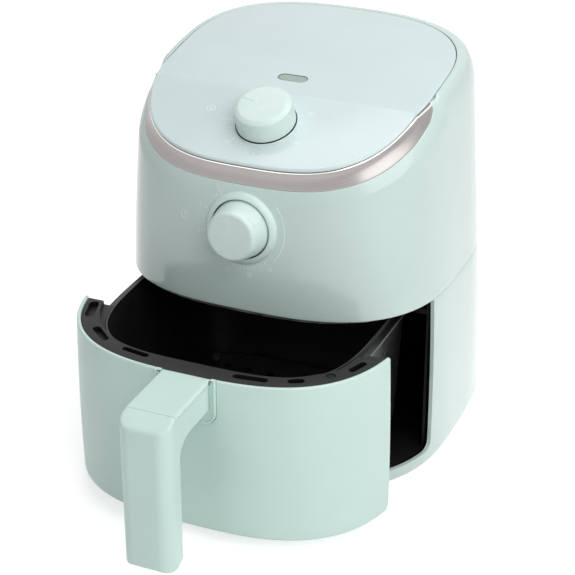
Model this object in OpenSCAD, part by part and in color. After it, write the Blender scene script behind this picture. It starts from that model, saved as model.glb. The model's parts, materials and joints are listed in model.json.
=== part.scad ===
// Compact hot-air fryer: a heater and fan housing over a pull-out drawer with a pan.
// Millimetres, +Z up, the front faces -Y. The origin is under the middle of the whole part
// with its drawer open by drawer_pull.

/* [Housing] */
// Width at the floor
base_width = 225; // [219:1:231]
// Width at mid-height
waist_width = 220; // [216:1:226]
// Width the sides lean in to at crown_height
crown_width = 201; // [198:1:205]
// Reach in front of the centre at the floor
base_front = 112; // [110:1:115]
// Reach in front of the centre at mid-height
waist_front = 115; // [112:1:118]
// Reach in front of the centre at crown_height
crown_front = 103; // [101:1:106]
// Reach behind the centre at the floor
base_rear = 132; // [128:1:136]
// Reach behind the centre at mid-height
waist_rear = 104; // [102:1:108]
// Reach behind the centre at crown_height
crown_rear = 95; // [93:1:98]
// Height that the crown sizes are taken at
crown_height = 280; // [276:1:290]
// Squareness of the front half, 2 is an ellipse
front_power = 2.87; // [2.7:0.01:3.1]
// Squareness of the rear half
rear_power = 3.2; // [3:0.05:3.4]
// Thickness of the moulded walls
wall = 2.4; // [2:0.1:2.8]
// Height of the lower edge over the table
skirt_gap = 1.5; // [1:0.1:2]
// Height where the upper and lower mouldings meet
seam_height = 125.6; // [123:0.2:128]

/* [Drawer opening] */
// Height of the sill under the drawer
sill_height = 10.5; // [9.5:0.1:11.5]
// Distance of the opening's side edges in front of the centre
opening_edge = 45; // [42:1:48]
// Radius of the opening's lower corners
opening_corner = 7; // [4:0.5:10]
// Rise of the lip from its ends to the front centre
lip_rise = 4.2; // [2:0.1:5]

/* [Lid and band] */
// Width of the lid
lid_width = 188.8; // [185:0.2:192]
// Reach of the lid in front of the centre
lid_front = 107.6; // [106:0.2:109]
// Reach of the lid behind the centre
lid_rear = 79; // [76:0.5:82]
// Squareness of the lid's front half
lid_front_power = 3; // [2.9:0.05:3.3]
// Squareness of the lid's rear half
lid_rear_power = 2.65; // [2.5:0.05:2.9]
// Thickness of the lid
lid_thickness = 2.6; // [2.2:0.1:3.2]
// Distance of the crease in front of the centre
crease_front = 47.5; // [45:0.5:50]
// Height of the lid's crease over the top of the timer's bezel
crease_height = 44.2; // [43:0.2:46]
// Slope of the control deck in front of the crease, degrees
deck_angle = 23.3; // [21:0.1:25]
// Slope of the lid behind the crease, degrees
crown_angle = 8.5; // [7:0.1:10]
// Height of the body's rounded shoulder
shoulder_height = 17; // [14:0.5:20]
// Greatest depth below the crease at which the shoulder starts
shoulder_base = 15.5; // [13.5:0.5:19.5]
// Height of the bevel behind the metal band
bevel_height = 22; // [17:0.5:24]
// Gap between the lid and the shoulder
lid_gap = 0.4; // [0.3:0.05:0.8]
// Thickness of the shoulder's lip round the lid
shoulder_lip = 1.4; // [1:0.1:2]
// Width of the ledge that the lid rests on
lid_ledge = 3; // [2:0.5:4]
// Height of the metal band
band_height = 11.8; // [11:0.2:14]
// Distance of the band's tips in front of the centre
band_tip = 28; // [26:0.5:31]
// Length over which the band narrows to its tips
band_taper = 43; // [36:1:48]
// Length over which the body rises from the band's tips to the lid
brow_run = 9.5; // [7:0.5:12]

/* [Dials] */
// Height of the timer dial's centre over the motor's plate
timer_height = 35; // [33:0.5:37]
// Outer radius of the timer bezel
bezel_radius = 24.3; // [23:0.1:26]
// Height of the bezel over the housing
bezel_proud = 3.5; // [2.5:0.1:4.5]
// Radius of the timer knob at its foot
timer_knob_radius = 19.4; // [18:0.1:21]
// Length of the timer knob
timer_knob_length = 17; // [15:0.5:19]
// Distance of the temperature dial in front of the centre
deck_dial_front = 73.2; // [72:0.2:75]
// Outer radius of the temperature dial's ring
deck_ring_radius = 21.4; // [21:0.1:22.5]
// Radius of the temperature knob at its foot
deck_knob_radius = 19.4; // [18:0.1:19.8]
// Length of the temperature knob
deck_knob_length = 15; // [14:0.5:18]
// Radius of both control shafts
control_shaft_radius = 3; // [2.5:0.1:3.5]
// Gap between a turning knob and the ring round it
knob_gap = 0.6; // [0.4:0.1:1]

/* [Indicator] */
// Length of the indicator window
window_length = 21; // [18:0.5:24]
// Width of the indicator window
window_width = 9; // [7:0.5:10]
// Distance of the window in front of the centre
window_front = 27.2; // [24:0.2:30]
// Distance of the window to the left of the middle
window_side = 1.3; // [0:0.1:3]

/* [Drawer] */
// How far the drawer stands open
drawer_pull = 82; // [60:1:90]
// Height of the drawer's lower edge
drawer_bottom = 12.6; // [12:0.1:13.5]
// Gap between the drawer and the lip above it
drawer_gap = 0.6; // [0.4:0.1:1]
// Gap between the drawer's rear edges and the opening's edges
drawer_edge_gap = 1.5; // [1:0.1:2.5]
// Thickness of the drawer front where it carries the rim
drawer_thick = 4.5; // [4:0.1:5]
// Depth of the rim below the drawer's top edge
rim_drop = 1; // [0.6:0.1:1.5]
// Depth of the pan's edge below the rim's top
pan_sink = 2; // [1:0.1:2.4]
// Thickness of the slotted rim
rim_thickness = 4.5; // [3.5:0.1:5.5]
// Width of the rim at the front
rim_front = 16.3; // [15:0.1:18]
// Width between the drawer's side and the pan
rim_side = 22; // [21:0.1:23]
// Reach of the pan behind the centre with the drawer shut
pan_rear = 80; // [76:1:82]
// Thickness of the pan's wall
pan_wall = 1.2; // [1:0.1:1.6]
// Height of the pan's underside
pan_bottom = 18; // [16:0.5:20]
// Squareness of the pan
pan_power = 3.7; // [3.4:0.05:4]
// How far the pan's walls lean in to its floor
pan_draft = 5; // [3:0.5:7]
// Radius round the pan's floor
pan_corner = 14; // [10:1:18]
// Width of the pan's flange
flange_width = 5; // [4:0.2:5.4]
// Thickness of the pan's flange
flange_thickness = 2; // [1.5:0.1:2.5]

/* [Handle] */
// Width of the handle's plate
plate_width = 41; // [38:0.5:46]
// Height of the handle's plate
plate_height = 31.5; // [29:0.5:34]
// Radius of the plate's lower corners
plate_corner = 9; // [6:0.5:12]
// How far the plate stands proud of the drawer
plate_proud = 1.2; // [0.8:0.1:2]
// Width of the neck
neck_width = 33.2; // [30:0.2:33.4]
// Length of the neck from the plate to the grip's seam
neck_length = 45.1; // [40:0.1:50]
// Thickness of the neck with its cover
neck_thickness = 21; // [18:0.5:24]
// Thickness of the cover on the neck
cover_thickness = 3; // [2:0.1:4]
// Width of the grip
grip_width = 34; // [33.6:0.2:37]
// Depth of the grip from front to back
grip_depth = 19; // [17:0.5:22]
// Length of the grip
grip_length = 106; // [95:1:108]
// Radius of the grip's long edges
grip_round = 8.8; // [7:0.2:9.2]
// Reach of the grip in front of the neck's seam
grip_nose = 13.4; // [12:0.2:15]

/* [Tray] */
// Gap between the tray and the pan's wall
tray_gap = 2.5; // [2:0.1:4]
// Height of the tray over the pan's floor
tray_lift = 12; // [10:0.5:15]
// Thickness of the tray
tray_thickness = 1.5; // [1.2:0.1:2]
// Radius of the tray's holes
tray_hole = 3; // [2:0.1:3.5]
// Distance between the tray's holes
tray_pitch = 17; // [15:0.5:20]

/* [Heater and fan] */
// Height of the motor's steel plate over the ceiling of the drawer's bay
deck_plate_height = 22.3; // [21:0.1:25]
// Thickness of that plate
deck_plate_thickness = 1.5; // [1.2:0.1:2]
// Radius of the reflector's mouth
reflector_radius = 80; // [76:1:82]
// Radius of the heating element's outer ring
element_radius = 62; // [58:1:66]
// Radius of the element's tube
element_tube = 3.3; // [2.8:0.1:3.6]
// Radius of the hot-air fan
hot_fan_radius = 48; // [42:1:52]
// Radius of the cooling fan
cooling_fan_radius = 36; // [32:1:38]
// Radius of the motor's case
motor_radius = 30; // [28:1:32]
// Length of the motor's case
motor_length = 40; // [36:1:42]
// Radius of the motor's shaft
motor_shaft_radius = 4; // [3:0.1:4.5]
// Radial running clearance of every shaft
running_gap = 0.05; // [0.02:0.01:0.09]

/* [Hidden] */
$fn = 48;

far = 400;
snug = 0.3;

// Heights
drawer_top = seam_height - drawer_gap;
rim_height = drawer_top - rim_drop - rim_thickness;
flange_height = rim_height - flange_thickness;
bay_top = seam_height + 1.4;
ceiling_top = bay_top + 1.2;
plate_low = ceiling_top + deck_plate_height;
plate_top = plate_low + deck_plate_thickness;
timer_z = plate_top + timer_height;
crease_z = timer_z + bezel_radius + crease_height;
rim_top = rim_height + rim_thickness;
pan_top = rim_top - pan_sink;
pan_floor = pan_bottom + pan_wall;
tray_height = pan_floor + tray_lift;

// Housing outline: a value at the floor, at mid-height and at crown_height, joined by a parabola
function through3(low, mid, high, z) =
    let (t = z / crown_height) low * (1 - t) * (1 - 2 * t) + 4 * mid * t * (1 - t) + high * t * (2 * t - 1);
function half_width(z) = through3(base_width, waist_width, crown_width, z) / 2;
function front_reach(z) = through3(base_front, waist_front, crown_front, z);
function rear_reach(z) = through3(base_rear, waist_rear, crown_rear, z);
function lean(low, high) = atan((low - high) / 20);
function mix(p, q, t) = p * (1 - t) + q * t;
function clamped(t) = max(0, min(1, t));
function smooth(t) = let (u = clamped(t)) u * u * (3 - 2 * u);

// A closed curve that is flatter than an ellipse, with its own reach and power front and rear
function oval(a, w, front, rear, front_n, rear_n) =
    let (n = sin(a) < 0 ? front_n : rear_n, d = sin(a) < 0 ? front : rear,
         k = pow(pow(abs(cos(a)), n) + pow(abs(sin(a)), n), -1 / n))
    [w * k * cos(a), d * k * sin(a)];

// Angles of the outline's points, closer together at the band's tips. A tip is a point on the lid's edge
function edge_turn(y) =
    let (d = -y / lid_front) -atan2(d, pow(1 - pow(d, lid_front_power), 1 / lid_front_power));
taper_turn = edge_turn(-band_tip - band_taper);
tip_turn = edge_turn(-band_tip);
brow_turn = edge_turn(brow_run - band_tip);
spans = [[-90, taper_turn, 12], [taper_turn, tip_turn, 3], [tip_turn, brow_turn, 3], [brow_turn, 90, 18]];
right_turns = [for (s = spans, k = [0 : s[2] - 1]) mix(s[0], s[1], k / s[2])];
turns = concat(right_turns, [90], [for (k = [len(right_turns) - 1 : -1 : 1]) 180 - right_turns[k]]);
function skin(a, z, inset) =
    oval(a, half_width(z) - inset, front_reach(z) - inset, rear_reach(z) - inset, front_power, rear_power);
function lid_edge(a, inset) =
    oval(a, lid_width / 2 - inset, lid_front - inset, lid_rear - inset, lid_front_power, lid_rear_power);

// Top of the lid: the control deck slopes down to the front, the crown behind the crease is flatter
function roof(y) = crease_z + (y + crease_front) * tan(y < -crease_front ? deck_angle : crown_angle);

// The body leaves its straight sides at the shoulder and comes in to the lid's edge: under the
// band as a bevel that ends below the lid, behind it as a round that ends level with the lid
shoulder_reach = shoulder_lip + lid_gap;
function rear_share(y) = smooth((y + band_tip) / brow_run);
function round_share(y) = smooth((y + band_tip + band_taper) / (band_taper + brow_run));
function shoulder_edge(a, inset) = lid_edge(a, inset - shoulder_reach * rear_share(lid_edge(a, 0)[1]));
function body_point(a, z, inset) =
    let (y = lid_edge(a, 0)[1],
         share = rear_share(y),
         top = roof(y) - lid_thickness * (1 - share),
         start = min(max(crease_z - shoulder_base, top - shoulder_height), top - bevel_height),
         t = clamped((z - start) / (top - start)),
         inward = mix(smooth(t), 1 - sqrt(1 - t * t), round_share(y)),
         p = mix(skin(a, z, inset), shoulder_edge(a, inset), inward))
    [p[0], p[1], z];

// The band's foot runs parallel to the deck and climbs to the lid at the band's rounded tips
tip_power = 3.5;
function band_share(y) = 1 - pow(clamped((y + band_tip + band_taper) / band_taper), tip_power);
function foot(a) =
    let (y = lid_edge(a, 0)[1]) roof(y) - lid_thickness - band_height * band_share(y);
function lip(a) =
    let (y = skin(a, seam_height, 0)[1])
    seam_height + lip_rise * clamped((-y - opening_edge) / (front_reach(seam_height) - opening_edge));

// A ring of the body's top edge: at the front under the band, at the rear round the lid
function brow_ring(front_inset, front_drop, rear_inset, rear_drop) =
    [for (a = turns)
        let (f = body_point(a, foot(a) - front_drop, front_inset),
             r = lid_edge(a, rear_inset - shoulder_reach),
             share = rear_share(lid_edge(a, 0)[1]))
        mix(f, [r[0], r[1], roof(r[1]) - rear_drop], share)];
function skin_ring(inset, z) = [for (a = turns) let (p = skin(a, z, inset)) [p[0], p[1], z]];
function wall_ring(inset, low, high, share) =
    [for (i = [0 : len(turns) - 1])
        let (z = mix(low[i][2], high[i][2], share)) body_point(turns[i], z, inset)];
function lip_ring(inset) =
    [for (a = turns) let (z = lip(a), p = skin(a, z, inset)) [p[0], p[1], z]];

// Skins the rings in order. A loop joins the last ring to the first, otherwise both ends are capped
module loft(rings, loop = true) {
    n = len(rings[0]);
    count = len(rings);
    last = loop ? count : count - 1;
    walls = [for (i = [0 : last - 1], j = [0 : n - 1])
        [i * n + j, i * n + (j + 1) % n, (i + 1) % count * n + (j + 1) % n, (i + 1) % count * n + j]];
    caps = loop ? [] : [[for (j = [n - 1 : -1 : 0]) j], [for (j = [0 : n - 1]) (count - 1) * n + j]];
    polyhedron(
        points = [for (r = rings) each r],
        faces = [for (f = concat(walls, caps)) [for (k = [len(f) - 1 : -1 : 0]) f[k]]]);
}

module skin_block(inset, low, high) {
    loft([for (k = [0 : 4]) skin_ring(inset, mix(low, high, k / 4))], false);
}

// Places
pull_back = plate_proud + neck_length + grip_nose;
handle_reach = front_reach(drawer_top - plate_height / 2) + pull_back;
origin_y = (handle_reach + drawer_pull - rear_reach(skirt_gap)) / 2;
pan_half = half_width(drawer_top) - wall - rim_side;
pan_front = front_reach(drawer_top) - wall - rim_front;
fan_y = (pan_rear - pan_front) / 2;
module housing_frame() { translate([0, origin_y, 0]) children(); }
module drawer_frame() { translate([0, origin_y - drawer_pull, 0]) children(); }
module fan_frame(z) { translate([0, origin_y + fan_y, z]) children(); }
timer_lean = lean(front_reach(timer_z - 10), front_reach(timer_z + 10));
module timer_frame() {
    translate([0, origin_y - front_reach(timer_z), timer_z]) rotate([90 - timer_lean, 0, 0]) children();
}
module deck_frame() {
    translate([0, origin_y - deck_dial_front, roof(-deck_dial_front)]) rotate([deck_angle, 0, 0]) children();
}
module crown_frame() {
    translate([-window_side, origin_y - window_front, roof(-window_front)])
        rotate([crown_angle, 0, 0]) children();
}
module rear_frame(z) {
    slope = lean(rear_reach(z - 10), rear_reach(z + 10));
    translate([0, origin_y + rear_reach(z), z]) rotate([slope - 90, 0, 0]) children();
}

// Small shapes
module ring(outer, inner, low, high) {
    translate([0, 0, low]) difference() {
        cylinder(r = outer, h = high - low);
        translate([0, 0, -1]) cylinder(r = inner, h = high - low + 2);
    }
}
module rod(r, low, high) { translate([0, 0, low]) cylinder(r = r, h = high - low); }
module block(x, y, low, high) { translate([-x / 2, -y / 2, low]) cube([x, y, high - low]); }
module pill(length, width, low, high) {
    block(length - width, width, low, high);
    for (s = [-1, 1]) translate([s * (length - width) / 2, 0, 0]) rod(width / 2, low, high);
}
module rounded(x, y, r, low, high) {
    block(x - 2 * r, y, low, high);
    block(x, y - 2 * r, low, high);
    for (sx = [-1, 1], sy = [-1, 1]) translate([sx * (x / 2 - r), sy * (y / 2 - r), 0]) rod(r, low, high);
}
module torus(radius, tube, z) {
    translate([0, 0, z]) rotate_extrude() translate([radius, 0]) circle(r = tube);
}
module both_sides() { children(); mirror([1, 0, 0]) children(); }
// A profile drawn in Y and Z, swept along X
module across(half) { translate([-half, 0, 0]) rotate([90, 0, 90]) linear_extrude(2 * half) children(); }
module slab(low, high, inset) {
    translate([0, 0, low]) linear_extrude(high - low)
        polygon([for (a = turns) skin(a, mix(low, high, 0.5), inset)]);
}

// ---- Housing shells ----

body_colour = [0.80, 0.90, 0.86];
dark = [0.13, 0.13, 0.13];
steel = [0.72, 0.70, 0.68];
ledge_inset = 8;
ledge_height = skirt_gap + 2;
gland_height = 40;
gland_radius = 5.5;
seat_depth = 1;
screw_radius = 1.5;
bush_radius = 5;
grille_height = timer_z + 18;
grille_size = [76, 36];
grille_seat = 5;

module opening_cut() {
    y = -opening_edge;
    across(far) union() {
        translate([y - far, sill_height + opening_corner]) square([far, far]);
        translate([y - far, sill_height]) square([far - opening_corner, far]);
        translate([y - opening_corner, sill_height + opening_corner]) circle(r = opening_corner);
    }
}
module base_screw_places() {
    for (a = [40, 140, 218, 322]) {
        p = skin(a, skirt_gap, wall / 2 + ledge_inset / 2);
        translate([p[0], p[1], 0]) children();
    }
}

module lower_housing() color(body_colour) {
    difference() {
        housing_frame() difference() {
            loft(concat(
                [for (t = [0, 0.15, 0.35, 0.65, 1]) skin_ring(0, mix(skirt_gap, seam_height, t))],
                [for (t = [1, 0.65, 0.35, 0.15, 0]) skin_ring(wall, mix(ledge_height, seam_height, t))],
                [skin_ring(ledge_inset, ledge_height), skin_ring(ledge_inset, skirt_gap)]));
            opening_cut();
            base_screw_places() rod(screw_radius + 0.1, -1, ledge_height + 1);
        }
        rear_frame(gland_height) rod(gland_radius + snug, -far / 10, 1);
        rear_frame(gland_height) rod(gland_radius + 3.5 + snug, -seat_depth, far / 20);
    }
}

// Inner shelf that carries the motor plate
shelf = 5;
timer_box = 42;
timer_depth = 30;
timer_standoff = 6;
module upper_housing() color(body_colour) {
    low = lip_ring(0);
    edge = brow_ring(0, 0, 0, 0.3);
    under = brow_ring(wall, 2.4, shoulder_reach + lid_ledge, lid_thickness + 2.4);
    shelf_top = skin_ring(wall, plate_low);
    difference() {
        union() {
            housing_frame() loft(concat(
                [for (share = [0, 0.12, 0.28, 0.44, 0.6, 0.74, 0.84, 0.9, 0.94, 0.97, 0.99])
                    wall_ring(0, low, edge, share)],
                [edge,
                 brow_ring(0.6, 0, shoulder_lip, 0.3),
                 brow_ring(1.2, 0, shoulder_lip, lid_thickness),
                 brow_ring(wall, 0, shoulder_reach + lid_ledge, lid_thickness),
                 under],
                [for (share = [0.94, 0.84, 0.6, 0.3]) wall_ring(wall, shelf_top, under, share)],
                [shelf_top,
                 skin_ring(wall + shelf, plate_low),
                 skin_ring(wall + shelf, plate_low - 2),
                 skin_ring(wall, plate_low - 5),
                 lip_ring(wall)]));
            timer_frame() both_sides() translate([timer_box / 2 - 5, 0, 0])
                rod(4, -timer_standoff, -seat_depth - 0.5);
            rear_frame(grille_height) block(grille_size[0] + 8, grille_size[1] + 8, -grille_seat, -2.2);
        }
        timer_frame() rod(bezel_radius + snug, -seat_depth, far / 20);
        timer_frame() rod(bush_radius + snug, -far / 20, 1);
        rear_frame(grille_height) block(grille_size[0], grille_size[1], -far / 20, far / 20);
    }
}

module lid() color(body_colour) {
    front = -lid_front - 5;
    rear = lid_rear + 5;
    line = [front, -crease_front, rear];
    difference() {
        housing_frame() intersection() {
            across(lid_width) polygon(concat(
                [for (y = line) [y, roof(y) - lid_thickness]],
                [for (k = [2, 1, 0]) [line[k], roof(line[k])]]));
            linear_extrude(far) polygon([for (a = turns) lid_edge(a, 0)]);
        }
        deck_frame() rod(bush_radius + snug, -far / 20, 1);
        crown_frame() pill(window_length, window_width, -far / 20, 1);
    }
}

function under_lid(a, inset) =
    let (p = body_point(a, roof(lid_edge(a, 0)[1]) - lid_thickness, inset))
    [p[0], p[1], roof(p[1]) - lid_thickness];
module trim_band() color(steel) {
    turn = concat(
        [for (a = turns) if (a > 179.9 - tip_turn) a],
        [for (a = turns) if (a < tip_turn + 0.1) a]);
    housing_frame() loft([for (a = turn)
        [body_point(a, foot(a), 0), under_lid(a, 0), under_lid(a, wall), body_point(a, foot(a), wall)]],
        false);
}

// ---- Base ----

foot_radius = 9;
foot_inset = 40;
foot_x = base_width / 2 - foot_inset;
foot_y = [foot_inset + 2 - base_front, base_rear - foot_inset];
post_radius = 5;
post_x = foot_x - 12.5;
post_y = [foot_y[0] + 10, 0, foot_y[1] - 37];
liner_floor = 1.5;
module feet() color(dark) {
    housing_frame() for (sx = [-1, 1], y = foot_y)
        translate([sx * foot_x, y, 0]) rod(foot_radius, 0, ledge_height);
}
module base_plate() color(dark) {
    housing_frame() difference() {
        union() {
            slab(ledge_height, ledge_height + 2.5, wall + 0.4);
            for (sx = [-1, 1], y = post_y) translate([sx * post_x, y, 0])
                rod(post_radius, ledge_height + 1, sill_height - liner_floor);
        }
        base_screw_places() rod(screw_radius + 0.1, 0, sill_height);
    }
}
module base_screws() color(steel) {
    housing_frame() base_screw_places() {
        rod(screw_radius, skirt_gap, ledge_height + 2.5);
        rod(3, 0.3, skirt_gap);
    }
}
module cord_gland() color(dark) {
    rear_frame(gland_height) difference() {
        union() {
            rod(gland_radius + 3.5, -seat_depth, 1.5);
            rod(gland_radius, -9, 6);
        }
        rod(3.5, -10, 7);
    }
}

// ---- Drawer bay ----

liner_wall = 1.5;
liner_gap = 3.6;
liner_half = min(half_width(sill_height), half_width(seam_height)) - wall - liner_gap;
liner_rear = pan_rear + pan_wall + flange_width + 5 + liner_wall;
liner_front = opening_edge - 0.2;
wing_gap = 2.2;
rail_depth = 12.5;
rail_height = flange_height - snug;
function liner_outline(inset, overrun = 0) = concat(
    [[liner_half - inset, -liner_front - overrun]],
    [for (k = [0 : 24]) oval(k * 7.5, liner_half - inset, 1, liner_rear - inset, 2, pan_power)],
    [[inset - liner_half, -liner_front - overrun]]);
module bay_liner() color(dark) {
    housing_frame() difference() {
        union() {
            difference() {
                translate([0, 0, sill_height - liner_floor])
                    linear_extrude(bay_top - sill_height + liner_floor) polygon(liner_outline(0));
                translate([0, 0, sill_height]) linear_extrude(far) polygon(liner_outline(liner_wall, 1));
            }
            intersection() {
                skin_block(wall + wing_gap, sill_height - liner_floor, seam_height - 1);
                union() {
                    translate([-liner_half, -far / 2, sill_height - liner_floor])
                        cube([2 * liner_half, far / 2 - liner_front + 0.1, liner_floor]);
                    both_sides() translate([liner_half - liner_wall, -liner_front, sill_height - liner_floor])
                        cube([far / 10, liner_wall, far]);
                }
            }
        }
        translate([0, liner_rear, flange_height + 1]) rotate([90, 0, 0])
            rod(plunger_radius + running_gap, -1, far / 20);
    }
}
module drawer_rails() color(dark) {
    housing_frame() intersection() {
        both_sides() translate([liner_half - liner_wall - rail_depth, -liner_front, rail_height - 3.7])
            cube([rail_depth + 5, liner_front + 0.6 * liner_rear, 3.7]);
        linear_extrude(far) polygon(liner_outline(liner_wall));
    }
}
module bay_ceiling() color(steel) {
    difference() {
        housing_frame() slab(bay_top, ceiling_top, wall + 0.4);
        fan_frame(0) rod(reflector_radius - 5, 0, far);
    }
}

// ---- Drawer switch ----

plunger_radius = 2.5;
plunger_travel = 3;
plunger_tip = pan_rear + pan_wall + flange_width + 0.4;
module switch_case() color("darkslategray") {
    housing_frame() translate([0, liner_rear, flange_height + 1]) rotate([-90, 0, 0]) difference() {
        block(20, 12, 0, 10.8);
        rod(plunger_radius + running_gap, -1, 9);
    }
}
module switch_plunger() color("white") {
    housing_frame() translate([0, plunger_tip, flange_height + 1]) rotate([-90, 0, 0])
        rod(plunger_radius, 0, liner_rear + 9 - plunger_travel - 0.3 - plunger_tip);
}

// ---- Heater ----

reflector_drop = 12;
element_height = ceiling_top + 5.8;
terminal_turn = 8;
guard_wire = 1.2;
guard_pitch = 24;
module terminal_places() {
    for (s = [-1, 1]) rotate([0, 0, s * terminal_turn]) translate([element_radius, 0, 0]) children();
}
module motor_plate() color(steel) {
    difference() {
        housing_frame() slab(plate_low, plate_top, wall + 0.5);
        fan_frame(0) rod(motor_shaft_radius + 2, 0, far);
        fan_frame(0) terminal_places() rod(element_tube + snug, 0, far);
    }
}
module heat_reflector() color(steel) {
    r = reflector_radius;
    top = plate_low;
    fan_frame(0) difference() {
        rotate_extrude() polygon([
            [motor_shaft_radius + 4, top], [r - reflector_drop, top],
            [r, top - reflector_drop], [r, ceiling_top], [r - 1, ceiling_top],
            [r - 1, top - reflector_drop - 0.4], [r - reflector_drop - 0.4, top - 1],
            [motor_shaft_radius + 4, top - 1]]);
        terminal_places() rod(element_tube + snug, 0, far);
    }
}
module element_guard() color("silver") {
    ring_radius = reflector_radius - 3;
    fan_frame(ceiling_top + guard_wire) {
        torus(ring_radius, guard_wire, 0);
        for (k = [-2 : 2], x = k * guard_pitch) translate([x, 0, 0]) rotate([90, 0, 0])
            rod(0.9, -sqrt(ring_radius * ring_radius - x * x), sqrt(ring_radius * ring_radius - x * x));
    }
}
// Two loops joined by bridges, with two cold legs up through the motor plate
module heating_element() color([0.45, 0.4, 0.38]) {
    inner = element_radius - 3.4 * element_tube;
    fan_frame(0) {
        torus(element_radius, element_tube, element_height);
        torus(inner, element_tube, element_height);
        for (a = [60, 240]) rotate([0, 0, a]) translate([(inner + element_radius) / 2, 0, element_height])
            block(element_radius - inner, element_tube, -1, 1);
        terminal_places() rod(element_tube - 0.5, element_height, plate_top + 6);
    }
}
module element_clips() color("ivory") {
    fan_frame(0) difference() {
        for (a = [90, 210, 330]) rotate([0, 0, a]) translate([element_radius, 0, 0])
            rod(3, element_height, plate_low - 1);
        torus(element_radius, element_tube, element_height);
    }
}

// ---- Motor and fans ----

bracket_height = plate_top + 6;
motor_height = bracket_height + 2.5;
motor_top = motor_height + motor_length;
bearing_length = 7;
bearing_radius = 8;
stator_inner = motor_radius * 0.58;
hot_fan_top = plate_low - 3.5;
hot_fan_height = 9;
cool_fan_height = 8;
nut_height = 4;
module motor_bracket() color(steel) {
    fan_frame(0) {
        ring(motor_radius + 8, motor_shaft_radius + 2, bracket_height, motor_height);
        for (a = [30, 150, 270]) rotate([0, 0, a]) translate([motor_radius + 2, 0, 0])
            rod(4, plate_top, bracket_height + 1);
    }
}
module motor_case() color("dimgray") {
    fan_frame(motor_height) difference() {
        rod(motor_radius, 0, motor_length);
        rod(motor_radius - 2, bearing_length, motor_length - bearing_length);
        rod(bearing_radius, -1, motor_length + 1);
    }
}
module motor_bearings() color("silver") {
    fan_frame(motor_height) for (z = [0, motor_length - bearing_length])
        ring(bearing_radius, motor_shaft_radius + running_gap, z, z + bearing_length);
}
module motor_stator() color([0.72, 0.45, 0.25]) {
    fan_frame(motor_height)
        ring(motor_radius - 2, stator_inner, bearing_length + 2, motor_length - bearing_length - 2);
}
module motor_rotor() color("gray") {
    fan_frame(motor_height)
        ring(stator_inner - 0.6, motor_shaft_radius, bearing_length + 3, motor_length - bearing_length - 3);
}
module motor_shaft() color("silver") {
    fan_frame(0)
        rod(motor_shaft_radius, hot_fan_top - hot_fan_height - nut_height - 1,
            motor_top + 2 + cool_fan_height);
}
module blades(radius, low, high, count) {
    for (k = [0 : count - 1]) rotate([0, 0, k * 360 / count]) translate([motor_shaft_radius + 3, 2, low])
        cube([radius - motor_shaft_radius - 3.5, 1.5, high - low]);
}
module hot_air_fan() color("silver") {
    fan_frame(0) difference() {
        union() {
            rod(hot_fan_radius, hot_fan_top - 1, hot_fan_top);
            rod(motor_shaft_radius + 5, hot_fan_top - hot_fan_height, hot_fan_top);
            blades(hot_fan_radius, hot_fan_top - hot_fan_height, hot_fan_top, 8);
        }
        rod(motor_shaft_radius, 0, far);
    }
}
module cooling_fan() color("gray") {
    low = motor_top + 2;
    fan_frame(0) difference() {
        union() {
            rod(motor_shaft_radius + 5, low, low + cool_fan_height);
            blades(cooling_fan_radius, low, low + cool_fan_height, 6);
        }
        rod(motor_shaft_radius, 0, far);
    }
}
module fan_nut() color("silver") {
    top = hot_fan_top - hot_fan_height;
    fan_frame(0) ring(motor_shaft_radius + 3, motor_shaft_radius, top - nut_height, top);
}
module thermal_fuse() color("white") {
    fan_frame(0) translate([-motor_radius - 20, 10, 0]) block(8, 20, plate_top, plate_top + 5);
}
block_front = 62;
block_size = [30, 14, 12];
module terminal_block() color("ivory") {
    housing_frame() translate([0, block_front + block_size[1] / 2, 0])
        block(block_size[0], block_size[1], plate_top, plate_top + block_size[2]);
}
wire_radius = 2;
loom_gap = 20;
wire_x = 14;
wire_low = plate_top + 5;
wire_top = timer_z - 8;
// The loom goes from the terminal block round the motor and up into the back of the timer
module wiring() color("firebrick") {
    side = motor_radius + loom_gap;
    timer_back = (timer_standoff + timer_depth) / cos(timer_lean) - front_reach(timer_z)
        + (wire_top - timer_z) * tan(timer_lean);
    corners = [[10, block_front, wire_low], [10, block_front - 12, wire_low],
               [side, block_front - 26, wire_low], [side, -36, wire_low], [wire_x, -56, wire_low],
               [wire_x, timer_back + 10, wire_top],
               [wire_x, timer_back, wire_top]];
    last = len(corners) - 1;
    // Corners are rounded by parabolas between the middles of the straights
    route = concat([corners[0]],
        [for (k = [1 : last - 1], t = [0 : 0.25 : 1])
            let (p = mix(corners[k - 1], corners[k], 0.5), q = mix(corners[k], corners[k + 1], 0.5))
            mix(mix(p, corners[k], t), mix(corners[k], q, t), t)],
        [corners[last]]);
    ways = [for (k = [0 : len(route) - 1])
        k == 0 || k == len(route) - 1 ? [0, -1, 0] : route[k + 1] - route[k - 1]];
    housing_frame() loft([for (k = [0 : len(route) - 1])
        let (u = [ways[k][1], -ways[k][0], 0] / norm([ways[k][0], ways[k][1]]),
             v = cross(u, ways[k]) / norm(ways[k]))
        [for (a = [0 : 45 : 315]) route[k] + wire_radius * (u * cos(a) + v * sin(a))]], false);
}

// ---- Timer, bezel and knobs ----

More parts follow.
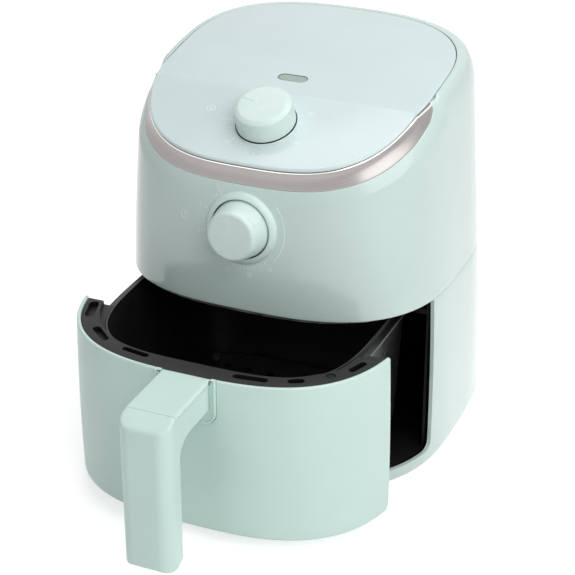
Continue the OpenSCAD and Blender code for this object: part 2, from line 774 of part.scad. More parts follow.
knob_foot = 1;
floor_height = 0.6;
shaft_in_knob = 8;
module timer_bezel() color(body_colour) {
    inner = timer_knob_radius + knob_gap;
    timer_frame() rotate_extrude() polygon([
        [bush_radius + snug, -seat_depth], [bezel_radius, -seat_depth], [bezel_radius, 0.9],
        [inner + 1.6, bezel_proud], [inner, bezel_proud - 0.4], [inner, floor_height],
        [bush_radius + snug, floor_height]]);
}
module timer_unit() color("dimgray") {
    timer_frame() difference() {
        union() {
            block(timer_box, timer_box, -timer_standoff - timer_depth, -timer_standoff);
            rod(bush_radius, -timer_standoff - 2, 1.5);
        }
        rod(control_shaft_radius + running_gap, -timer_standoff - timer_depth + 3, 5);
    }
}
module timer_bell() color("silver") {
    back = -timer_standoff - timer_depth;
    timer_frame() rotate_extrude() polygon([
        [0, back], [3, back], [3, back - 4], [11, back - 2], [12, back - 2], [10, back - 6],
        [0, back - 6.5]]);
}
module control_shaft(low, knob_length) { rod(control_shaft_radius, low, knob_foot + knob_length - 3); }
module timer_shaft() color("silver") {
    timer_frame() control_shaft(-timer_standoff - timer_depth + 3.5, timer_knob_length);
}
// A hollow knob with a hub that grips the shaft
module knob(foot_r, edge_r, face_r, length, chamfer) {
    top = knob_foot + length;
    rotate_extrude() polygon([
        [control_shaft_radius, top - 3], [control_shaft_radius, knob_foot + 1.5],
        [control_shaft_radius + 4, knob_foot + 1.5], [control_shaft_radius + 4, top - 2.5],
        [face_r - 1, top - 3], [foot_r - 2, knob_foot], [foot_r, knob_foot],
        [edge_r, top - chamfer], [face_r, top], [0, top], [0, top - 3]]);
}
module timer_knob() color([0.74, 0.86, 0.82]) {
    timer_frame()
        knob(timer_knob_radius, timer_knob_radius - 3, timer_knob_radius - 4.6, timer_knob_length, 1.2);
}
module temperature_ring() color(body_colour) {
    inner = deck_knob_radius + knob_gap;
    deck_frame() rotate_extrude() polygon([
        [bush_radius + snug, 0], [deck_ring_radius, 0], [deck_ring_radius, 0.8], [inner + 0.5, 1.5],
        [inner, 1.5], [inner, floor_height], [bush_radius + snug, floor_height]]);
}
deck_thickness = lid_thickness * cos(deck_angle);
thermostat_depth = 26;
thermostat_radius = 15;
module thermostat() color("dimgray") {
    deck_frame() difference() {
        union() {
            rod(thermostat_radius, -deck_thickness - thermostat_depth, -deck_thickness);
            rod(bush_radius, -deck_thickness - 2, 1.5);
        }
        rod(control_shaft_radius + running_gap, -deck_thickness - thermostat_depth + 3, 5);
    }
}
module thermostat_shaft() color("silver") {
    deck_frame() control_shaft(-deck_thickness - thermostat_depth + 3.5, deck_knob_length);
}
module temperature_knob() color([0.78, 0.90, 0.86]) {
    deck_frame()
        knob(deck_knob_radius, deck_knob_radius - 0.7, deck_knob_radius - 3.7, deck_knob_length, 1.6);
}
crown_thickness = lid_thickness * cos(crown_angle);
module indicator_lens() color([0.75, 0.8, 0.8]) {
    crown_frame() {
        pill(window_length - 0.3, window_width - 0.3, -crown_thickness, -0.3);
        pill(window_length + 4, window_width + 4, -crown_thickness - 1, -crown_thickness);
    }
}
module pilot_lamps() color("orange") {
    crown_frame() both_sides() translate([window_length / 4, 0, 0])
        rod(2.2, -crown_thickness - 7, -crown_thickness - 1);
}
module outlet_grille() color(dark) {
    rear_frame(grille_height) difference() {
        union() {
            block(grille_size[0] - 0.6, grille_size[1] - 0.6, -grille_seat, -1.4);
            block(grille_size[0] + 6, grille_size[1] + 6, -grille_seat - 1.5, -grille_seat);
        }
        for (k = [-2.5 : 1 : 2.5]) translate([0, k * grille_size[1] / 7, 0])
            block(grille_size[0] - 10, 2.4, -far / 20, 1);
    }
}

// ---- Drawer ----

edge_y = -opening_edge - drawer_edge_gap;
handle_face = front_reach(drawer_top - plate_height / 2);
pocket_face = handle_face - wall;
plate_mid = drawer_top - plate_height / 2;
handle_screw_spread = 7;
handle_screw_y = plate_height - (cover_thickness + neck_thickness) / 2;
handle_screw_radius = 2;
slot_floor = 0.8;
tier_depth = 2.5;
tier_width = 11;
tier_power = 3;
// Angle round the rim, place between its two edges, length and width of each slot
rim_slots = [[-149.2, 0.64, 21, 6.4], [-132.5, 0.36, 20, 5.4], [-114.7, 0.28, 20, 4.4],
             [-68.2, 0.34, 22.5, 5], [-53.3, 0.36, 10.5, 5], [-32.5, 0.56, 15, 4.6]];
catch_angle = -41.5;
catch_wall = 2.2;
catch_radius = 3;
module plate_shape(width, height, corner, low, high) {
    translate([-width / 2, corner, low]) cube([width, height - corner, high - low]);
    translate([corner - width / 2, 0, low]) cube([width - 2 * corner, height, high - low]);
    both_sides() translate([width / 2 - corner, corner, 0]) rod(corner, low, high);
}
// Local X across, Y up from the plate's lower edge, Z towards the front
module plate_frame() {
    drawer_frame() translate([0, 0, drawer_top - plate_height]) rotate([90, 0, 0]) children();
}
module handle_screw_places() {
    for (s = [-1, 1]) translate([s * handle_screw_spread, handle_screw_y, 0]) children();
}
module drawer_front() color([0.78, 0.89, 0.86]) {
    inner = drawer_thick;
    rear_corner = 5;
    difference() {
        drawer_frame() intersection() {
            union() {
                loft(concat(
                    [for (t = [0, 0.2, 0.47, 0.73, 1]) skin_ring(0, mix(drawer_bottom, drawer_top, t))],
                    [skin_ring(wall, drawer_top), skin_ring(wall, rim_height), skin_ring(inner, rim_height)],
                    [for (t = [0.73, 0.47, 0.2, 0]) skin_ring(inner, mix(drawer_bottom, drawer_top, t))]));
                slab(drawer_bottom, drawer_bottom + wall, inner - 1);
            }
            across(far) union() {
                translate([edge_y - far, drawer_bottom + rear_corner]) square([far, far]);
                translate([edge_y - far, drawer_bottom]) square([far - rear_corner, far]);
                translate([edge_y - rear_corner, drawer_bottom + rear_corner]) circle(r = rear_corner);
            }
        }
        plate_frame() translate([0, -snug, 0])
            plate_shape(plate_width + 2 * snug, plate_height + 5, plate_corner, pocket_face, far);
        plate_frame() handle_screw_places() rod(handle_screw_radius + 0.15, handle_face - far / 10, far);
    }
}
module handle_plate() color([0.78, 0.89, 0.86]) {
    plate_frame() difference() {
        plate_shape(plate_width, plate_height, plate_corner, pocket_face, handle_face + plate_proud);
        translate([-neck_width / 2 - snug / 2, plate_height - cover_thickness, 0])
            cube([neck_width + snug, far, far]);
        handle_screw_places() rod(handle_screw_radius + 0.05, 0, far);
    }
}
module handle_screws() color(steel) {
    seat = handle_face - drawer_thick - 0.2;
    plate_frame() handle_screw_places() {
        rod(handle_screw_radius, seat, handle_face + plate_proud + 8);
        rod(3.8, seat - 2.4, seat);
    }
}

// The neck and the grip are one moulding; the cover closes the neck's top
neck_face = handle_face + plate_proud;
seam_face = neck_face + neck_length;
nose_face = seam_face + grip_nose;
grip_back = nose_face - grip_depth;
neck_under = drawer_top - neck_thickness;
grip_foot = drawer_top - grip_length;
neck_fillet = 16;
neck_flatness = 0.7;
function arc(cy, cz, r, start, end, flatness = 1) =
    [for (k = [0 : 6]) let (a = mix(start, end, k / 6)) [cy + r * cos(a), cz + flatness * r * sin(a)]];
module handle_grip() color([0.80, 0.92, 0.88]) {
    nose_round = 3.5;
    nose_drop = 8.5;
    foot_round = 4;
    drawer_frame() difference() {
        intersection() {
            across(far) polygon(concat(
                [[-neck_face, drawer_top - cover_thickness], [-neck_face, neck_under]],
                arc(neck_fillet - grip_back, neck_under - neck_flatness * neck_fillet, neck_fillet, 90, 180,
                    neck_flatness),
                arc(-grip_back - foot_round, grip_foot + foot_round, foot_round, 0, -90),
                arc(foot_round - nose_face, grip_foot + foot_round, foot_round, 270, 180),
                arc(nose_round - nose_face, drawer_top - nose_drop, nose_round, 180, 115),
                [[-seam_face, drawer_top], [-seam_face, drawer_top - cover_thickness]]));
            union() {
                translate([-neck_width / 2, -seam_face, 0]) cube([neck_width, neck_length, far]);
                translate([0, grip_depth / 2 - nose_face, 0])
                    rounded(grip_width, grip_depth, grip_round, 0, far);
            }
        }
        translate([0, 0, drawer_top - plate_height]) rotate([90, 0, 0])
            handle_screw_places() rod(handle_screw_radius, 0, neck_face + 9);
    }
}
module handle_cover() color([0.84, 0.93, 0.90]) {
    drawer_frame() translate([-neck_width / 2, -seam_face, drawer_top - cover_thickness])
        cube([neck_width, seam_face - pocket_face, cover_thickness]);
}

function pan_point(a, grow, z) =
    let (sink = pan_draft * (pan_top - z) / (pan_top - pan_bottom),
         low = clamped((pan_bottom + pan_corner - z) / pan_corner),
         off = grow - sink - pan_corner * (1 - sqrt(1 - low * low)))
    oval(a, pan_half + off, pan_front + off, pan_rear + off, pan_power, pan_power);
function pan_outline(grow, z) = [for (a = turns) pan_point(a, grow, z)];
function pan_ring(grow, z) = [for (p = pan_outline(grow, z)) [p[0], p[1], z]];
module pan_shape(grow, low, high) {
    translate([0, 0, low]) linear_extrude(high - low) polygon(pan_outline(grow, pan_top));
}
module pan() color(dark) {
    drawer_frame() {
        loft(concat(
            [for (t = [0, 0.1, 0.3, 0.6, 1]) pan_ring(pan_wall, pan_bottom + t * pan_corner)],
            [pan_ring(pan_wall, pan_top), pan_ring(0, pan_top)],
            [for (t = [1, 0.6, 0.3, 0.1, 0]) pan_ring(0, mix(pan_floor, pan_bottom + pan_corner, t))]),
            false);
        difference() {
            pan_shape(pan_wall + flange_width, flange_height, rim_height);
            pan_shape(0.4, flange_height - 1, rim_height + 1);
        }
    }
}
module catch_place() {
    off = pan_wall + snug + catch_wall + catch_radius;
    p = oval(catch_angle, pan_half + off, pan_front + off, pan_rear, pan_power, pan_power);
    translate([p[0], p[1], 0]) children();
}
module pan_catch() color("dimgray") {
    drawer_frame() catch_place() rod(catch_radius, rim_height, rim_top - 0.6);
}
// A point between the rim's inner edge and its outer one
function rim_point(a, share) =
    mix(oval(a, pan_half + pan_wall + snug, pan_front + pan_wall + snug, 1, pan_power, 2),
        oval(a, half_width(rim_height) - wall, front_reach(rim_height) - wall, 1, front_power, 2), share);
module drawer_rim() color(dark) {
    drawer_frame() difference() {
        slab(rim_height, rim_top, wall + snug);
        pan_shape(pan_wall + snug, rim_height - 1, rim_top + 1);
        translate([0, 0, rim_top - tier_depth]) linear_extrude(far)
            polygon([for (a = turns) oval(a, pan_half + tier_width, pan_front + pan_wall + snug, pan_rear,
                                          tier_power, tier_power)]);
        translate([-far / 2, edge_y - 0.8, 0]) cube([far, far, far]);
        catch_place() rod(catch_radius + snug, 0, far);
        for (s = rim_slots) {
            at = rim_point(s[0], s[1]);
            way = rim_point(s[0] + 1, s[1]) - rim_point(s[0] - 1, s[1]);
            translate([at[0], at[1], 0]) rotate([0, 0, atan2(way[1], way[0])])
                pill(s[2], s[3], rim_height + slot_floor, far);
        }
    }
}

// ---- Tray ----

leg_radius = 3;
leg_x = 0.55 * pan_half;
leg_y = [-0.55 * pan_front, 0.55 * pan_rear];
loop_radius = 12;
loop_wire = 1.8;
module crisper_tray() color([0.2, 0.2, 0.2]) {
    reach_x = pan_half - pan_draft - tray_gap - 8;
    steps = floor(reach_x / tray_pitch);
    low = -floor((pan_front - pan_draft - tray_gap - 8) / tray_pitch);
    high = floor((pan_rear - pan_draft - tray_gap - 8) / tray_pitch);
    drawer_frame() {
        translate([0, 0, tray_height]) linear_extrude(tray_thickness) difference() {
            polygon(pan_outline(-tray_gap, tray_height));
            for (i = [-steps : steps], j = [low : high])
                if ((abs(i) > 1 || abs(j) > 0) && abs(i) + abs(j) < steps + high)
                    translate([i, j] * tray_pitch) circle(r = tray_hole);
        }
        for (sx = [-1, 1], y = leg_y) translate([sx * leg_x, y, 0]) rod(leg_radius, pan_floor, tray_height);
    }
}
module tray_loop() color("silver") {
    drawer_frame() translate([0, 0, tray_height + tray_thickness]) rotate([90, 0, 0])
        rotate_extrude(angle = 180) translate([loop_radius, 0]) circle(r = loop_wire);
}
module tray_bumpers() color([0.1, 0.1, 0.1]) {
    drawer_frame() for (a = [45 : 90 : 315]) {
        p = pan_point(a, -tray_gap - 4, tray_height);
        translate([p[0], p[1], 0]) rod(3, tray_height + tray_thickness, tray_height + tray_thickness + 3);
    }
}

lower_housing();
upper_housing();
base_plate();
feet();
base_screws();
lid();
trim_band();
indicator_lens();
pilot_lamps();
timer_bezel();
temperature_ring();
bay_liner();
drawer_rails();
bay_ceiling();
heat_reflector();
element_guard();
heating_element();
element_clips();
motor_plate();
motor_bracket();
motor_case();
motor_stator();
motor_bearings();
timer_unit();
timer_bell();
thermostat();
thermal_fuse();
switch_case();
terminal_block();
wiring();
outlet_grille();
cord_gland();
motor_shaft();
motor_rotor();
hot_air_fan();
cooling_fan();
fan_nut();
timer_knob();
timer_shaft();
temperature_knob();
thermostat_shaft();
switch_plunger();
drawer_front();
drawer_rim();
pan();
pan_catch();
handle_plate();
handle_grip();
handle_cover();
handle_screws();
crisper_tray();
tray_loop();
tray_bumpers();
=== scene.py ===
"""Looks of a compact hot-air fryer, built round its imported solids.

Shapes are in millimetres. The materials' bumps, the floor and the lamps are in metres.
"""
import json
import math

import bmesh
import bpy
from mathutils import Matrix, Vector


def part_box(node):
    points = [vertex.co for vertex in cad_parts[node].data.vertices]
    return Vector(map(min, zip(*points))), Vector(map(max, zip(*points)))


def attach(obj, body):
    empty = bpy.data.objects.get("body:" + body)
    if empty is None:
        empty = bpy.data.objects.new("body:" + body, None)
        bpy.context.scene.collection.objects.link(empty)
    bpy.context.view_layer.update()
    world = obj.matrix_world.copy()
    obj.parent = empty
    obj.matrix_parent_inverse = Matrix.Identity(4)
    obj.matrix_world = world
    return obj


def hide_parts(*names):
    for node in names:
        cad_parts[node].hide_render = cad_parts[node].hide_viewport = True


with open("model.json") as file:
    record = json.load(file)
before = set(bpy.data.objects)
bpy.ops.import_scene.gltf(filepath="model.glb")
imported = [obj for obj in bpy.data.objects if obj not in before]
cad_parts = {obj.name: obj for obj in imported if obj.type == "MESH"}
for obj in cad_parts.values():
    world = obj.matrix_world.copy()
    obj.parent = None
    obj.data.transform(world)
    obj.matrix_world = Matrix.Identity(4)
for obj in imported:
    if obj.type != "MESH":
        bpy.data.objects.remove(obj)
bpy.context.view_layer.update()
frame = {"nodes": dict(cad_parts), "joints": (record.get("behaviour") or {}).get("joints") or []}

MM = 0.001
FAR = 200  # Cutters reach this far past what they cut

# ---- Sizes of the housing's outline: at the floor, at mid-height and at CROWN_HEIGHT ----

CROWN_HEIGHT = 280
WIDTHS = (225, 220, 201)
FRONTS = (112, 115, 103)
REARS = (132, 104, 95)
FRONT_POWER, REAR_POWER = 2.87, 3.2
WALL = 2.4

LID_WIDTH, LID_FRONT, LID_REAR = 188.8, 107.6, 79
LID_FRONT_POWER, LID_REAR_POWER = 3, 2.65
LID_THICKNESS, LID_GAP, LID_LEDGE, LID_BEVEL = 2.6, 0.4, 3, 1.2
CREASE_FRONT, CREASE_HEIGHT = 47.5, 255.5
DECK_ANGLE, CROWN_ANGLE = 23.3, 8.5
SHOULDER_HEIGHT, SHOULDER_BASE, SHOULDER_LIP = 17, 240, 1.4
BEVEL_HEIGHT = 22
SHOULDER_REACH = SHOULDER_LIP + LID_GAP
BAND_HEIGHT, BAND_TIP, BAND_TAPER, TIP_POWER, BROW_RUN = 11.8, 28, 43, 3.5, 9.5

SKIRT_GAP, SEAM_HEIGHT, SHELF_HEIGHT = 1.5, 125.6, 150
FLOOR_TOP, FLOOR_EDGE = 3.5, 8
SILL_HEIGHT, OPENING_EDGE, OPENING_CORNER, LIP_RISE = 10.5, 45, 7, 4.2

TIMER_HEIGHT, BEZEL_RADIUS, BEZEL_PROUD, DIAL_HOLE = 187, 24.3, 3.5, 6
DECK_DIAL_FRONT = 73.2
TIMER_KNOB_RADIUS, DECK_KNOB_RADIUS, KNOB_GAP = 19.4, 19.4, 0.6
TIMER_KNOB_LENGTH, DECK_KNOB_LENGTH = 17, 15
WINDOW_FRONT, WINDOW_SIDE, WINDOW_LENGTH, WINDOW_WIDTH = 27.2, 1.3, 21, 9

DRAWER_BOTTOM, DRAWER_TOP, DRAWER_THICK = 12.6, SEAM_HEIGHT - 0.6, 4.5
RIM_HEIGHT, RIM_TOP, PAN_TOP = DRAWER_TOP - 5.5, DRAWER_TOP - 1, DRAWER_TOP - 3
EDGE_Y = -OPENING_EDGE - 1.5
PAN_BOTTOM, PAN_WALL, PAN_POWER, PAN_DRAFT, PAN_CORNER, PAN_REAR = 18, 1.2, 3.7, 5, 14, 80
GRILLE_HEIGHT, GRILLE_SIZE, GRILLE_CORNER = 205, (76, 36), 3


def mix(p, q, t):
    return p * (1 - t) + q * t


def clamped(t):
    return max(0.0, min(1.0, t))


def smooth(t):
    t = clamped(t)
    return t * t * (3 - 2 * t)


def through3(values, z):
    """The parabola through the values at the floor, at mid-height and at CROWN_HEIGHT."""
    t = z / CROWN_HEIGHT
    low, mid, high = values
    return low * (1 - t) * (1 - 2 * t) + 4 * mid * t * (1 - t) + high * t * (2 * t - 1)


def half_width(z):
    return through3(WIDTHS, z) / 2


def front_reach(z):
    return through3(FRONTS, z)


def rear_reach(z):
    return through3(REARS, z)


def oval(a, w, front, rear, front_n, rear_n):
    """The point at angle a, in degrees, of an oval flatter than an ellipse."""
    c, s = math.cos(math.radians(a)), math.sin(math.radians(a))
    n, d = (front_n, front) if s < 0 else (rear_n, rear)
    k = (abs(c) ** n + abs(s) ** n) ** (-1 / n)
    return w * k * c, d * k * s


def skin(a, z, inset=0.0):
    width, front, rear = half_width(z) - inset, front_reach(z) - inset, rear_reach(z) - inset
    return oval(a, width, front, rear, FRONT_POWER, REAR_POWER)


def lid_edge(a, inset=0.0):
    width, front, rear = LID_WIDTH / 2 - inset, LID_FRONT - inset, LID_REAR - inset
    return oval(a, width, front, rear, LID_FRONT_POWER, LID_REAR_POWER)


def roof(y):
    angle = DECK_ANGLE if y < -CREASE_FRONT else CROWN_ANGLE
    return CREASE_HEIGHT + (y + CREASE_FRONT) * math.tan(math.radians(angle))


def rear_share(y):
    """0 in front of the band's tips and 1 behind them."""
    return smooth((y + BAND_TIP) / BROW_RUN)


def round_share(y):
    """0 where the band has its full height and 1 behind its tips."""
    return smooth((y + BAND_TIP + BAND_TAPER) / (BAND_TAPER + BROW_RUN))


def body_point(a, z, inset):
    """The housing's skin: straight sides, then a bevel under the band or a round shoulder behind it."""
    y = lid_edge(a)[1]
    share = rear_share(y)
    top = roof(y) - LID_THICKNESS * (1 - share)
    start = min(max(SHOULDER_BASE, top - SHOULDER_HEIGHT), top - BEVEL_HEIGHT)
    t = clamped((z - start) / (top - start))
    inward = mix(smooth(t), 1 - math.sqrt(max(0.0, 1 - t * t)), round_share(y))
    edge = lid_edge(a, inset - SHOULDER_REACH * share)
    side = skin(a, z, inset)
    return mix(side[0], edge[0], inward), mix(side[1], edge[1], inward), z


def band_share(y):
    """The band's height as a share of BAND_HEIGHT: it tapers to 0 at the tips."""
    return 1 - clamped((y + BAND_TIP + BAND_TAPER) / BAND_TAPER) ** TIP_POWER


def foot(a):
    """The height of the body's top edge, which is the band's lower one."""
    y = lid_edge(a)[1]
    return roof(y) - LID_THICKNESS - BAND_HEIGHT * band_share(y)


def lip(a):
    """The height of the upper housing's lower edge."""
    rise = (-skin(a, SEAM_HEIGHT)[1] - OPENING_EDGE) / (front_reach(SEAM_HEIGHT) - OPENING_EDGE)
    return SEAM_HEIGHT + LIP_RISE * clamped(rise)


def edge_turn(y):
    """The angle of the lid's edge at depth y, in front of the centre, on the right."""
    d = -y / LID_FRONT
    return -math.degrees(math.atan2(d, (1 - d**LID_FRONT_POWER) ** (1 / LID_FRONT_POWER)))


def turns_with(counts):
    """Angles round the outline, closer together at the band's tips."""
    keys = [-90, *(edge_turn(y - BAND_TIP) for y in (-BAND_TAPER, 0, BROW_RUN)), 90]
    right = [mix(keys[i], keys[i + 1], k / n) for i, n in enumerate(counts) for k in range(n)]
    return right + [90] + [180 - a for a in reversed(right[1:])]


TURNS = turns_with((36, 40, 14, 66))
TIP_TURN = edge_turn(-BAND_TIP)

# ---- Places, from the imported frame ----

HOUSING_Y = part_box("lower_housing")[1].y / MM - rear_reach(SKIRT_GAP)
PULL = -next(j for j in frame["joints"] if j["name"] == "drawer_slide")["range_m"][0] / MM
DRAWER_Y = HOUSING_Y - PULL


def lean_of(reach, z):
    """The skin's lean from upright at height z, in degrees."""
    return math.degrees(math.atan((reach(z - 10) - reach(z + 10)) / 20))


def tilted(y, z, angle):
    """A frame on the middle plane at depth y of the housing, turned about X."""
    return Matrix.Translation((0, HOUSING_Y + y, z)) @ Matrix.Rotation(math.radians(angle), 4, "X")


TIMER = tilted(-front_reach(TIMER_HEIGHT), TIMER_HEIGHT, 90 - lean_of(front_reach, TIMER_HEIGHT))
DECK = tilted(-DECK_DIAL_FRONT, roof(-DECK_DIAL_FRONT), DECK_ANGLE)
CROWN = (Matrix.Translation((-WINDOW_SIDE, 0, 0))
         @ tilted(-WINDOW_FRONT, roof(-WINDOW_FRONT), CROWN_ANGLE))
BACK = tilted(rear_reach(GRILLE_HEIGHT), GRILLE_HEIGHT, lean_of(rear_reach, GRILLE_HEIGHT) - 90)

# ---- Meshes ----

LATHE_STEPS, PILL_STEPS = 160, 12


def mesh(name, points, faces, body, material, replaces=(), slot=None, uvs=None, sharp=35):
    """A piece from points in millimetres, with one pair of uvs for each point."""
    data = bpy.data.meshes.new(name)
    data.from_pydata([Vector(p) * MM for p in points], [], faces)
    data.update()
    if uvs:
        layer = data.uv_layers.new(name="along")
        for loop in data.loops:
            layer.data[loop.index].uv = uvs[loop.vertex_index]
    return piece(name, data, body, material, replaces, sharp)


def added(name, data):
    """A new object in the scene."""
    obj = bpy.data.objects.new(name, data)
    bpy.context.scene.collection.objects.link(obj)
    return obj


def smoothed(data, sharp):
    """Shades the mesh smooth. Edges that turn by more than sharp degrees stay sharp."""
    for p in data.polygons:
        p.use_smooth = True
    data.set_sharp_from_angle(angle=math.radians(sharp))


def outward(data):
    """Turns every face outward."""
    form = bmesh.new()
    form.from_mesh(data)
    bmesh.ops.recalc_face_normals(form, faces=form.faces)
    form.to_mesh(data)
    form.free()


def piece(name, data, body, material, replaces, sharp):
    """A smooth object that rides on a body, in place of the solids it replaces."""
    outward(data)
    smoothed(data, sharp)
    data.materials.append(material)
    obj = added(name, data)
    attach(obj, body)
    if replaces:
        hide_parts(*replaces)
    return obj


def loft(name, rings, body, material, loop=True, closed=True, **options):
    """Skins rings of points. loop joins the last ring to the first; closed joins each ring's ends."""
    n, count = len(rings[0]), len(rings)
    points, uvs = [], []
    along = 0.0
    for i, ring in enumerate(rings):
        if i:
            along += (Vector(ring[0]) - Vector(rings[i - 1][0])).length
        across = 0.0
        for j, p in enumerate(ring):
            if j:
                across += (Vector(p) - Vector(ring[j - 1])).length
            points.append(Vector(p))
            uvs.append((along * MM, across * MM))
    faces = []
    for i in range(count if loop else count - 1):
        for j in range(n if closed else n - 1):
            k, m = (j + 1) % n, (i + 1) % count
            faces.append((i * n + j, m * n + j, m * n + k, i * n + k))
    if closed and not loop:
        faces.append(tuple(range(n)))
        faces.append(tuple((count - 1) * n + j for j in reversed(range(n))))
    return mesh(name, points, faces, body, material, uvs=uvs, **options)


def evaluated(obj):
    """Applies the object's modifiers to its mesh."""
    graph = bpy.context.evaluated_depsgraph_get()
    data = bpy.data.meshes.new_from_object(obj.evaluated_get(graph))
    old = obj.data
    obj.modifiers.clear()
    obj.data = data
    bpy.data.meshes.remove(old)


def cutter(points, faces):
    data = bpy.data.meshes.new("cutter")
    data.from_pydata([Vector(p) * MM for p in points], [], faces)
    outward(data)
    return added("cutter", data)


def cut(obj, tool, operation="DIFFERENCE", sharp=35):
    """Subtracts the cutter from the piece and removes the cutter."""
    change = obj.modifiers.new("cut", "BOOLEAN")
    change.operation = operation
    change.solver = "EXACT"
    change.object = tool
    evaluated(obj)
    bpy.data.objects.remove(tool)
    smoothed(obj.data, sharp)


def prism(outline, low, high, place=None):
    """Points and faces of an outline in X and Y, extruded along Z and moved by place."""
    n = len(outline)
    points = [Vector((x, y, z)) for z in (low, high) for x, y in outline]
    if place:
        points = [place @ p for p in points]
    faces = [tuple(reversed(range(n))), tuple(range(n, 2 * n))]
    faces += [(j, (j + 1) % n, n + (j + 1) % n, n + j) for j in range(n)]
    return points, faces


def across(profile, y):
    """A profile in Y and Z, extruded along X both ways."""
    n = len(profile)
    points = [Vector((x, p + y, q)) for x in (-FAR, FAR) for p, q in profile]
    faces = [tuple(range(n)), tuple(reversed(range(n, 2 * n)))]
    faces += [(j, n + j, n + (j + 1) % n, (j + 1) % n) for j in range(n)]
    return points, faces


def arc(cx, cy, r, start, end, steps=8):
    turns = [math.radians(mix(start, end, k / steps)) for k in range(steps + 1)]
    return [(cx + r * math.cos(t), cy + r * math.sin(t)) for t in turns]


def rounded(points, radius, steps):
    """An open profile with each inner corner rounded by a parabola."""
    out = [points[0]]
    for before, at, after in zip(points, points[1:], points[2:]):
        p, c, q = Vector(before), Vector(at), Vector(after)
        r = min(radius, (p - c).length * 0.45, (q - c).length * 0.45)
        s, e = c + (p - c).normalized() * r, c + (q - c).normalized() * r
        for k in range(steps + 1):
            t = k / steps
            out.append(tuple(s * (1 - t) ** 2 + c * 2 * t * (1 - t) + e * t * t))
    out.append(points[-1])
    return out


def lathe(name, profile, place, body, material, **options):
    """A profile of radius and height, turned about the place's Z axis."""
    rings = []
    for k in range(LATHE_STEPS):
        t = 2 * math.pi * k / LATHE_STEPS
        rings.append([place @ Vector((r * math.cos(t), r * math.sin(t), z)) for r, z in profile])
    return loft(name, rings, body, material, closed=False, **options)


def polar(r, a):
    """A point at angle a in degrees, clockwise from straight up."""
    return r * math.sin(math.radians(a)), r * math.cos(math.radians(a))


def pill(length, width):
    r = width / 2
    x = length / 2 - r
    return arc(x, 0, r, -90, 90, PILL_STEPS) + arc(-x, 0, r, 90, 270, PILL_STEPS)


def box_outline(w, h, r):
    """A rectangle with rounded corners."""
    x, y = w / 2 - r, h / 2 - r
    centres = ((x, y), (-x, y), (-x, -y), (x, -y))
    return [p for k, (cx, cy) in enumerate(centres) for p in arc(cx, cy, r, 90 * k, 90 * k + 90, 4)]


# ---- Materials ----


def linear(*colour):
    """A colour from 0 to 255 as a picture shows it, in the renderer's own scale."""
    return (*(c / 12.92 if c <= 0.04045 else ((c + 0.055) / 1.055) ** 2.4
              for c in (level / 255 for level in colour)), 1)


class Finish:
    """A node material round one Principled shader."""

    def __init__(self, name):
        self.material = bpy.data.materials.new(name)
        self.material.use_nodes = True
        self.tree = self.material.node_tree
        self.shader = self.tree.nodes["Principled BSDF"]

    def set(self, socket, value):
        self.shader.inputs[socket].default_value = value
        return self

    def node(self, kind, inputs=(), **values):
        made = self.tree.nodes.new(kind)
        for key, value in values.items():
            setattr(made, key, value)
        for key, value in inputs:
            if isinstance(value, bpy.types.NodeSocket):
                self.tree.links.new(value, made.inputs[key])
            else:
                made.inputs[key].default_value = value
        return made

    def link(self, source, socket):
        self.tree.links.new(source, self.shader.inputs[socket])

    def place(self, scale=(1, 1, 1), kind="Object"):
        where = self.node("ShaderNodeTexCoord").outputs[kind]
        return self.node("ShaderNodeMapping", [("Vector", where), ("Scale", scale)]).outputs[0]

    def noise(self, scale, detail, vector=None, roughness=0.5):
        vector = vector or self.place()
        inputs = [("Vector", vector), ("Scale", scale), ("Detail", detail), ("Roughness", roughness)]
        return self.node("ShaderNodeTexNoise", inputs).outputs["Fac"]

    def ramp(self, fac, stops):
        made = self.node("ShaderNodeValToRGB", [("Fac", fac)])
        for element, stop in zip(made.color_ramp.elements, stops):
            element.position, element.color = stop
        return made.outputs["Color"]

    def ranged(self, fac, low, high, start=0.3, end=0.7):
        inputs = [("Value", fac), ("From Min", start), ("From Max", end), ("To Min", low),
                  ("To Max", high)]
        return self.node("ShaderNodeMapRange", inputs).outputs["Result"]

    def bump(self, height, distance, normal=None):
        inputs = [("Height", height), ("Distance", distance), ("Strength", 1.0)]
        if normal:
            inputs.append(("Normal", normal))
        return self.node("ShaderNodeBump", inputs).outputs["Normal"]

    def tones(self, colour, spread, scale, detail):
        """Slow drifts of a colour, darker and paler by spread."""
        return self.ramp(self.noise(scale, detail), zip((0.3, 0.7), shades(colour, spread)))

    def finish(self, tones, gloss, low, high, skin):
        """Links the colour, the roughness from low to high where gloss changes, and the surface."""
        self.link(tones, "Base Color")
        self.link(self.ranged(gloss, low, high), "Roughness")
        self.link(skin, "Normal")
        return self.material


def shades(colour, spread):
    return [tuple(c * k for c in colour[:3]) + (1,) for k in (1 - spread, 1 + spread)]


def plastic(name, colour, roughness, grain=0.000012, grain_scale=1500, spread=0.02, coat=0.0):
    """Moulded plastic: slow drifts of colour and gloss, and a fine skin texture."""
    f = Finish(name)
    if coat:
        f.set("Coat Weight", coat).set("Coat Roughness", 0.06)
    ripple = f.bump(f.noise(190, 1), 0.000012)
    skin = f.bump(f.noise(grain_scale, 2), grain, ripple)
    return f.finish(f.tones(colour, spread, 22, 3), f.noise(35, 4), roughness * 0.85,
                    roughness * 1.15, skin)


def metal(name, colour, roughness, along, across_scale, depth, kind="UV", spread=0.14):
    """Metal brushed in one direction: long fine lines in its gloss, shade and surface."""
    f = Finish(name)
    f.set("Metallic", 1.0)
    lines = f.noise(1.0, 6, f.place((along, across_scale, across_scale), kind), 0.75)
    tones = f.ramp(lines, zip((0.32, 0.68), shades(colour, spread)))
    return f.finish(tones, lines, roughness * 0.75, roughness * 1.3, f.bump(lines, depth))


